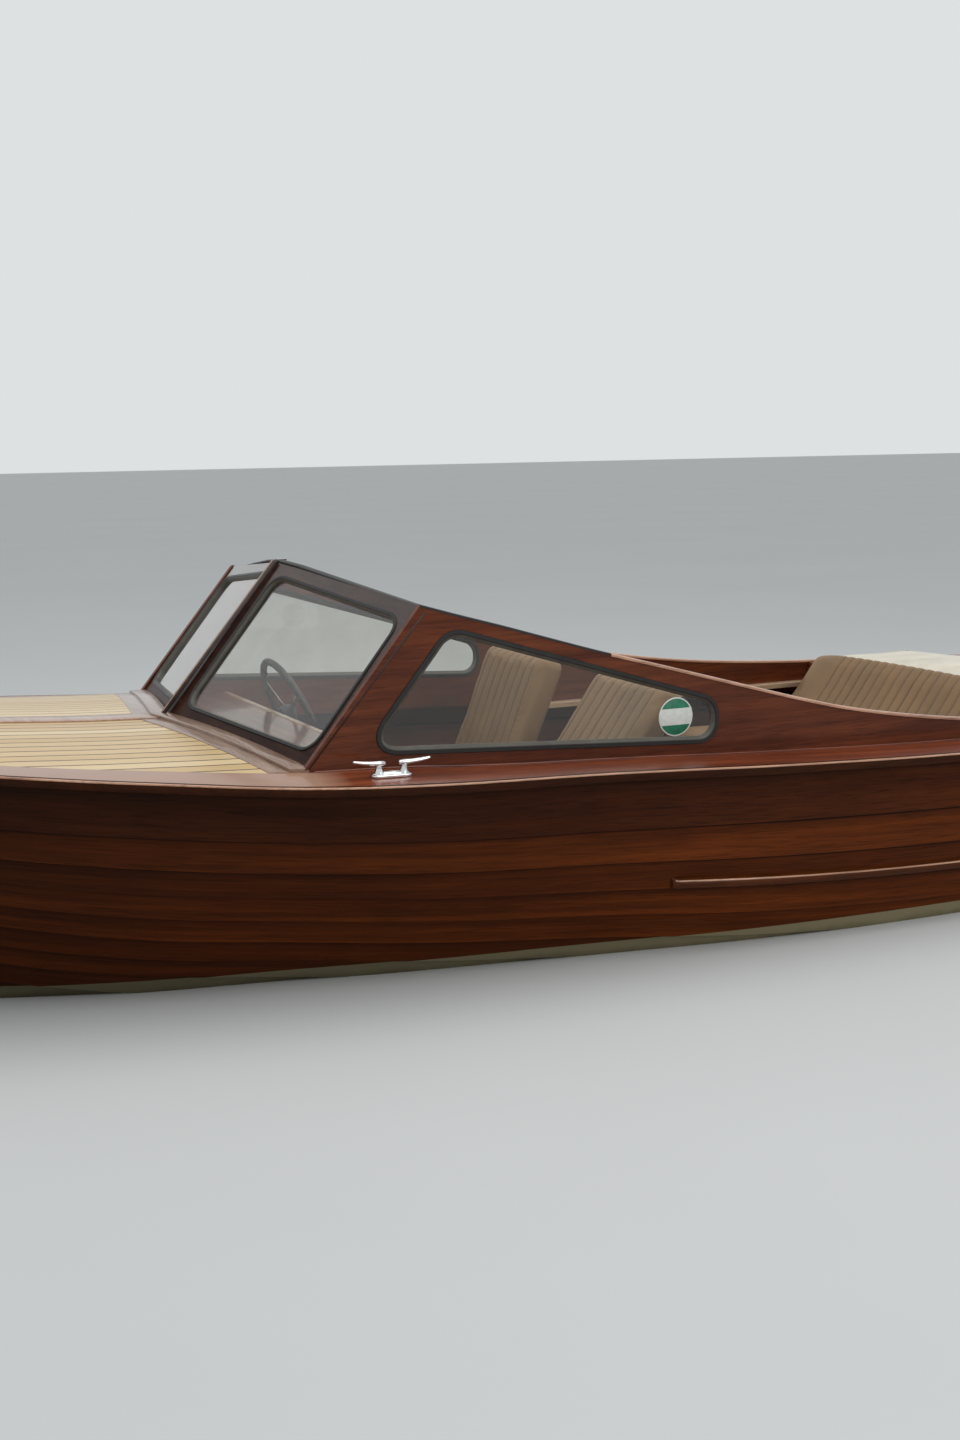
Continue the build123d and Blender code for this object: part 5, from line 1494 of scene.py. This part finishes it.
class BOAT_OT_drive(bpy.types.Operator):
    """Builds the engine and the propeller, and finishes the shaft and the rudder"""

    bl_idname = "boat.drive"
    bl_label = "Engine and propeller"

    def blades(self, bm):
        centre = Vector((-2.395, 0, -0.29))
        axial = Vector((1, 0, 0))
        for n in range(3):
            turn = 2 * pi * n / 3
            out = Vector((0, sin(turn), cos(turn)))
            round_way = Vector((0, cos(turn), -sin(turn)))
            rings = []
            for i in range(13):
                share = -1 + 2 * i / 12
                r = 0.066 + 0.0455 * share
                chord = max(0.003, 0.084 * sqrt(max(0.0, 1 - share * share)))
                if share < 0:
                    chord = max(chord, 0.03)
                pitch = atan2(0.22, 2 * pi * r)
                across = round_way * cos(pitch) - axial * sin(pitch)
                face = axial * cos(pitch) + round_way * sin(pitch)
                thick = 0.0042 * (1.15 - share * 0.75) if i < 12 else 0.001
                skew = across * 0.006 * share * share
                ring = []
                for k in range(14):
                    angle = 2 * pi * k / 14
                    ring.append(centre + out * r + skew + across * chord / 2 * cos(angle) + face * thick * sin(angle))
                rings.append(ring)
            sweep(bm, rings)

    def execute(self, context):
        all_coats = coats()
        along = Matrix(((0, 0, 1, -2.395), (0, 1, 0, 0), (-1, 0, 0, -0.29), (0, 0, 0, 1)))
        bm = bmesh.new()
        self.blades(bm)
        hub = [(0.0142, 0.040), (0.024, 0.0398), (0.0278, 0.037), (0.028, 0.0), (0.0265, -0.03), (0.023, -0.0395), (0.0142, -0.040)]
        turned(bm, hub, 36, along)
        finish("propeller_blades", bm, all_coats["bronze"], "drive", ["propeller"])
        bm = bmesh.new()
        nut = [(0.0142, -0.041), (0.019, -0.041), (0.019, -0.052), (0.012, -0.0595), (0.004, -0.063), (0, -0.0635)]
        turned(bm, nut, 6, along)
        finish("propeller_nut", bm, all_coats["bronze"], "drive")
        dress("propeller_shaft", all_coats["steel"])
        dress("rudder", all_coats["bronze"])
        dress("engine_bed", all_coats["backbone"])
        self.engine(all_coats)
        return {"FINISHED"}

    def engine(self, all_coats):
        """The engine's main masses inside the space that its block holds."""
        masses = (
            ("engine_block", "engine", -2.3, -2.0, -0.12, 0.12, 0.06, 0.25, 0.012, ["engine"]),
            ("engine_sump", "iron", -2.29, -2.02, -0.09, 0.09, -0.059, 0.062, 0.02, []),
            ("engine_head", "engine", -2.28, -2.02, -0.105, 0.06, 0.248, 0.31, 0.008, []),
            ("engine_cover", "iron", -2.27, -2.03, -0.085, 0.04, 0.308, 0.372, 0.022, []),
            ("engine_gearbox", "engine", -2.378, -2.298, -0.085, 0.085, -0.03, 0.16, 0.024, []),
            ("engine_flywheel", "engine", -2.002, -1.962, -0.15, 0.15, -0.03, 0.25, 0.014, []),
        )
        for name, coat, x0, x1, y0, y1, z0, z1, edge, nodes in masses:
            bm = bmesh.new()
            rounded_face(bm, [(x0, y0), (x1, y0), (x1, y1), (x0, y1)], [edge] * 4, 4)
            set_depth(bm, z0, z1)
            bmesh.ops.recalc_face_normals(bm, faces=bm.faces[:])
            soften(bm, edge * 0.6, 3, 60)
            finish(name, bm, all_coats[coat], "boat", nodes)
        bm = bmesh.new()
        for i in range(4):
            x = -2.25 + 0.065 * i
            bend = ((0.055, 0.28), (0.1, 0.283), (0.135, 0.27), (0.15, 0.24), (0.152, 0.2))
            tube(bm, [Vector((x, a, b)) for a, b in bend], (0.016, 0.016, 0.017, 0.018, 0.018), Vector((1, 0, 0)))
        tube(bm, [Vector((x, 0.155, 0.19)) for x in (-2.3, -2.297, -2.15, -2.003, -2.0)], (0.01, 0.026, 0.028, 0.026, 0.01))
        finish("engine_manifold", bm, all_coats["iron"], "boat")
        bm = bmesh.new()
        spot = Matrix.Translation((-2.15, -0.15, 0.25))
        cleaner = [(0, 0.075), (0.02, 0.075), (0.05, 0.071), (0.056, 0.062), (0.056, 0.022), (0.05, 0.014), (0.022, 0.01), (0.02, -0.04), (0, -0.04)]
        turned(bm, cleaner, 32, spot)
        finish("engine_air_cleaner", bm, all_coats["chrome"], "boat")


class BOAT_OT_stage(bpy.types.Operator):
    """Adds the floor at the waterline, the lights and the camera"""

    bl_idname = "boat.stage"
    bl_label = "Stage"

    def floor(self):
        """A plain floor with an opening where the hull passes through it."""
        bm = bmesh.new()
        reach = 60.0
        edge = [bm.verts.new((x, y, 0)) for x, y in ((-reach, -reach), (reach, -reach), (reach, reach), (-reach, reach))]
        outline = []
        for station in spread(STATIONS[0], STATIONS[-1], 80, STATIONS):
            ring = hull_ring(station)[:OUTER_COUNT]
            for a, b in zip(ring, ring[1:]):
                if a.z >= 0 > b.z:
                    p = a.lerp(b, a.z / (a.z - b.z))
                    outline.append((p.x, p.y - 0.004))
        outline = outline[:1] + [p for p, q in zip(outline[1:], outline) if p[0] > q[0] + 0.001]
        tip = (outline[-1][0] + 0.01, 0)
        shape = [(outline[0][0] - 0.02, 0.02), *outline, tip, *[(x, -y) for x, y in outline[::-1]], (outline[0][0] - 0.02, -0.02)]
        inner = [bm.verts.new((x, y, 0)) for x, y in shape]
        edges = [bm.edges.new((loop[i - 1], loop[i])) for loop in (edge, inner) for i in range(len(loop))]
        bmesh.ops.triangle_fill(bm, edges=edges, use_beauty=True, use_dissolve=False, normal=(0, 0, 1))
        mesh = bpy.data.meshes.new("floor")
        bm.to_mesh(mesh)
        bm.free()
        piece = bpy.data.objects.new("floor", mesh)
        bpy.context.scene.collection.objects.link(piece)
        coat, tree, shader = start("studio_floor", Roughness=0.75, Specular_IOR_Level=0.2)
        base = tuple(colours().floor)
        cloud = noise(tree, object_place(tree), 0.6, 3)
        tree.links.new(ramp(tree, cloud, [(0.3, tuple(v * 0.97 for v in base)), (0.7, base)]), shader.inputs["Base Color"])
        mesh.materials.append(coat)

    def lamp(self, name, place, target, size, power, tint):
        light = bpy.data.lights.new(name, "AREA")
        light.shape = "DISK"
        light.size = size
        light.energy = power
        light.color = tint
        lamp = bpy.data.objects.new(name, light)
        lamp.location = place
        lamp.rotation_euler = (Vector(target) - Vector(place)).to_track_quat("-Z", "Y").to_euler()
        bpy.context.scene.collection.objects.link(lamp)

    def camera(self):
        yaw, pitch, roll = -0.4447, 0.1633, -0.0114
        view = Vector((sin(yaw) * cos(pitch), -cos(yaw) * cos(pitch), -sin(pitch)))
        level = Vector((-cos(yaw), -sin(yaw), 0))
        top = level.cross(view)
        right = level * cos(roll) + top * sin(roll)
        up = top * cos(roll) - level * sin(roll)
        place = Matrix((right, up, -view)).transposed().to_4x4()
        place.translation = Vector((2.5921, 5.3941, 1.5743))
        data = bpy.data.cameras.new("camera")
        data.lens = 45
        data.sensor_width = 36
        data.sensor_fit = "AUTO"
        data.clip_end = 200
        camera = bpy.data.objects.new("camera", data)
        camera.matrix_world = place
        bpy.context.scene.collection.objects.link(camera)
        bpy.context.scene.camera = camera

    def execute(self, context):
        self.floor()
        self.lamp("overhead", (0.5, 1.0, 7.0), (0, 0, 0), 9.0, 240, (1.0, 0.99, 0.97))
        self.lamp("quarter_fill", (-2.5, 8.0, 4.5), (-0.5, 0, 0.4), 5.0, 120, (1.0, 0.98, 0.95))
        world = bpy.data.worlds.new("studio")
        bpy.context.scene.world = world
        world.use_nodes = True
        tree = world.node_tree
        soft = tree.nodes["Background"]
        soft.inputs[0].default_value = (0.94, 0.97, 1.0, 1)
        soft.inputs[1].default_value = 0.62
        backdrop = add(tree, "Background", {0: (*tone(222, 225, 226), 1), 1: 1.0})
        rays = add(tree, "LightPath").outputs
        seen = maths(tree, "MAXIMUM", rays["Is Camera Ray"], maths(tree, "MAXIMUM", rays["Is Glossy Ray"], rays["Is Transmission Ray"]))
        mixed = add(tree, "MixShader", {0: seen, 1: soft.outputs[0], 2: backdrop.outputs[0]})
        tree.links.new(mixed.outputs[0], tree.nodes["World Output"].inputs[0])
        bpy.context.scene.view_settings.view_transform = "Standard"
        self.camera()
        return {"FINISHED"}


class BOAT_PT_panel(bpy.types.Panel):
    """Lists the steps that build the boat"""

    bl_label = "Motorboat"
    bl_idname = "BOAT_PT_panel"
    bl_space_type = "VIEW_3D"
    bl_region_type = "UI"
    bl_category = "Motorboat"

    def draw(self, context):
        for step in STEPS:
            self.layout.operator(step.bl_idname)
        for group in (context.scene.boat_sizes, context.scene.boat_colours):
            box = self.layout.box()
            for key in group.__annotations__:
                box.prop(group, key)


STEPS = (
    BOAT_OT_planking,
    BOAT_OT_rails,
    BOAT_OT_decks,
    BOAT_OT_windscreen,
    BOAT_OT_coamings,
    BOAT_OT_helm,
    BOAT_OT_seats,
    BOAT_OT_joinery,
    BOAT_OT_fittings,
    BOAT_OT_drive,
    BOAT_OT_stage,
)
CLASSES = (BoatColours, BoatSizes, *STEPS, BOAT_PT_panel)


def register():
    for item in CLASSES:
        bpy.utils.register_class(item)
    bpy.types.Scene.boat_colours = PointerProperty(type=BoatColours)
    bpy.types.Scene.boat_sizes = PointerProperty(type=BoatSizes)


def unregister():
    del bpy.types.Scene.boat_sizes
    del bpy.types.Scene.boat_colours
    for item in reversed(CLASSES):
        bpy.utils.unregister_class(item)


def main():
    register()
    for step in STEPS:
        group, call = step.bl_idname.split(".")
        getattr(getattr(bpy.ops, group), call)()


if __name__ == "__main__":
    main()
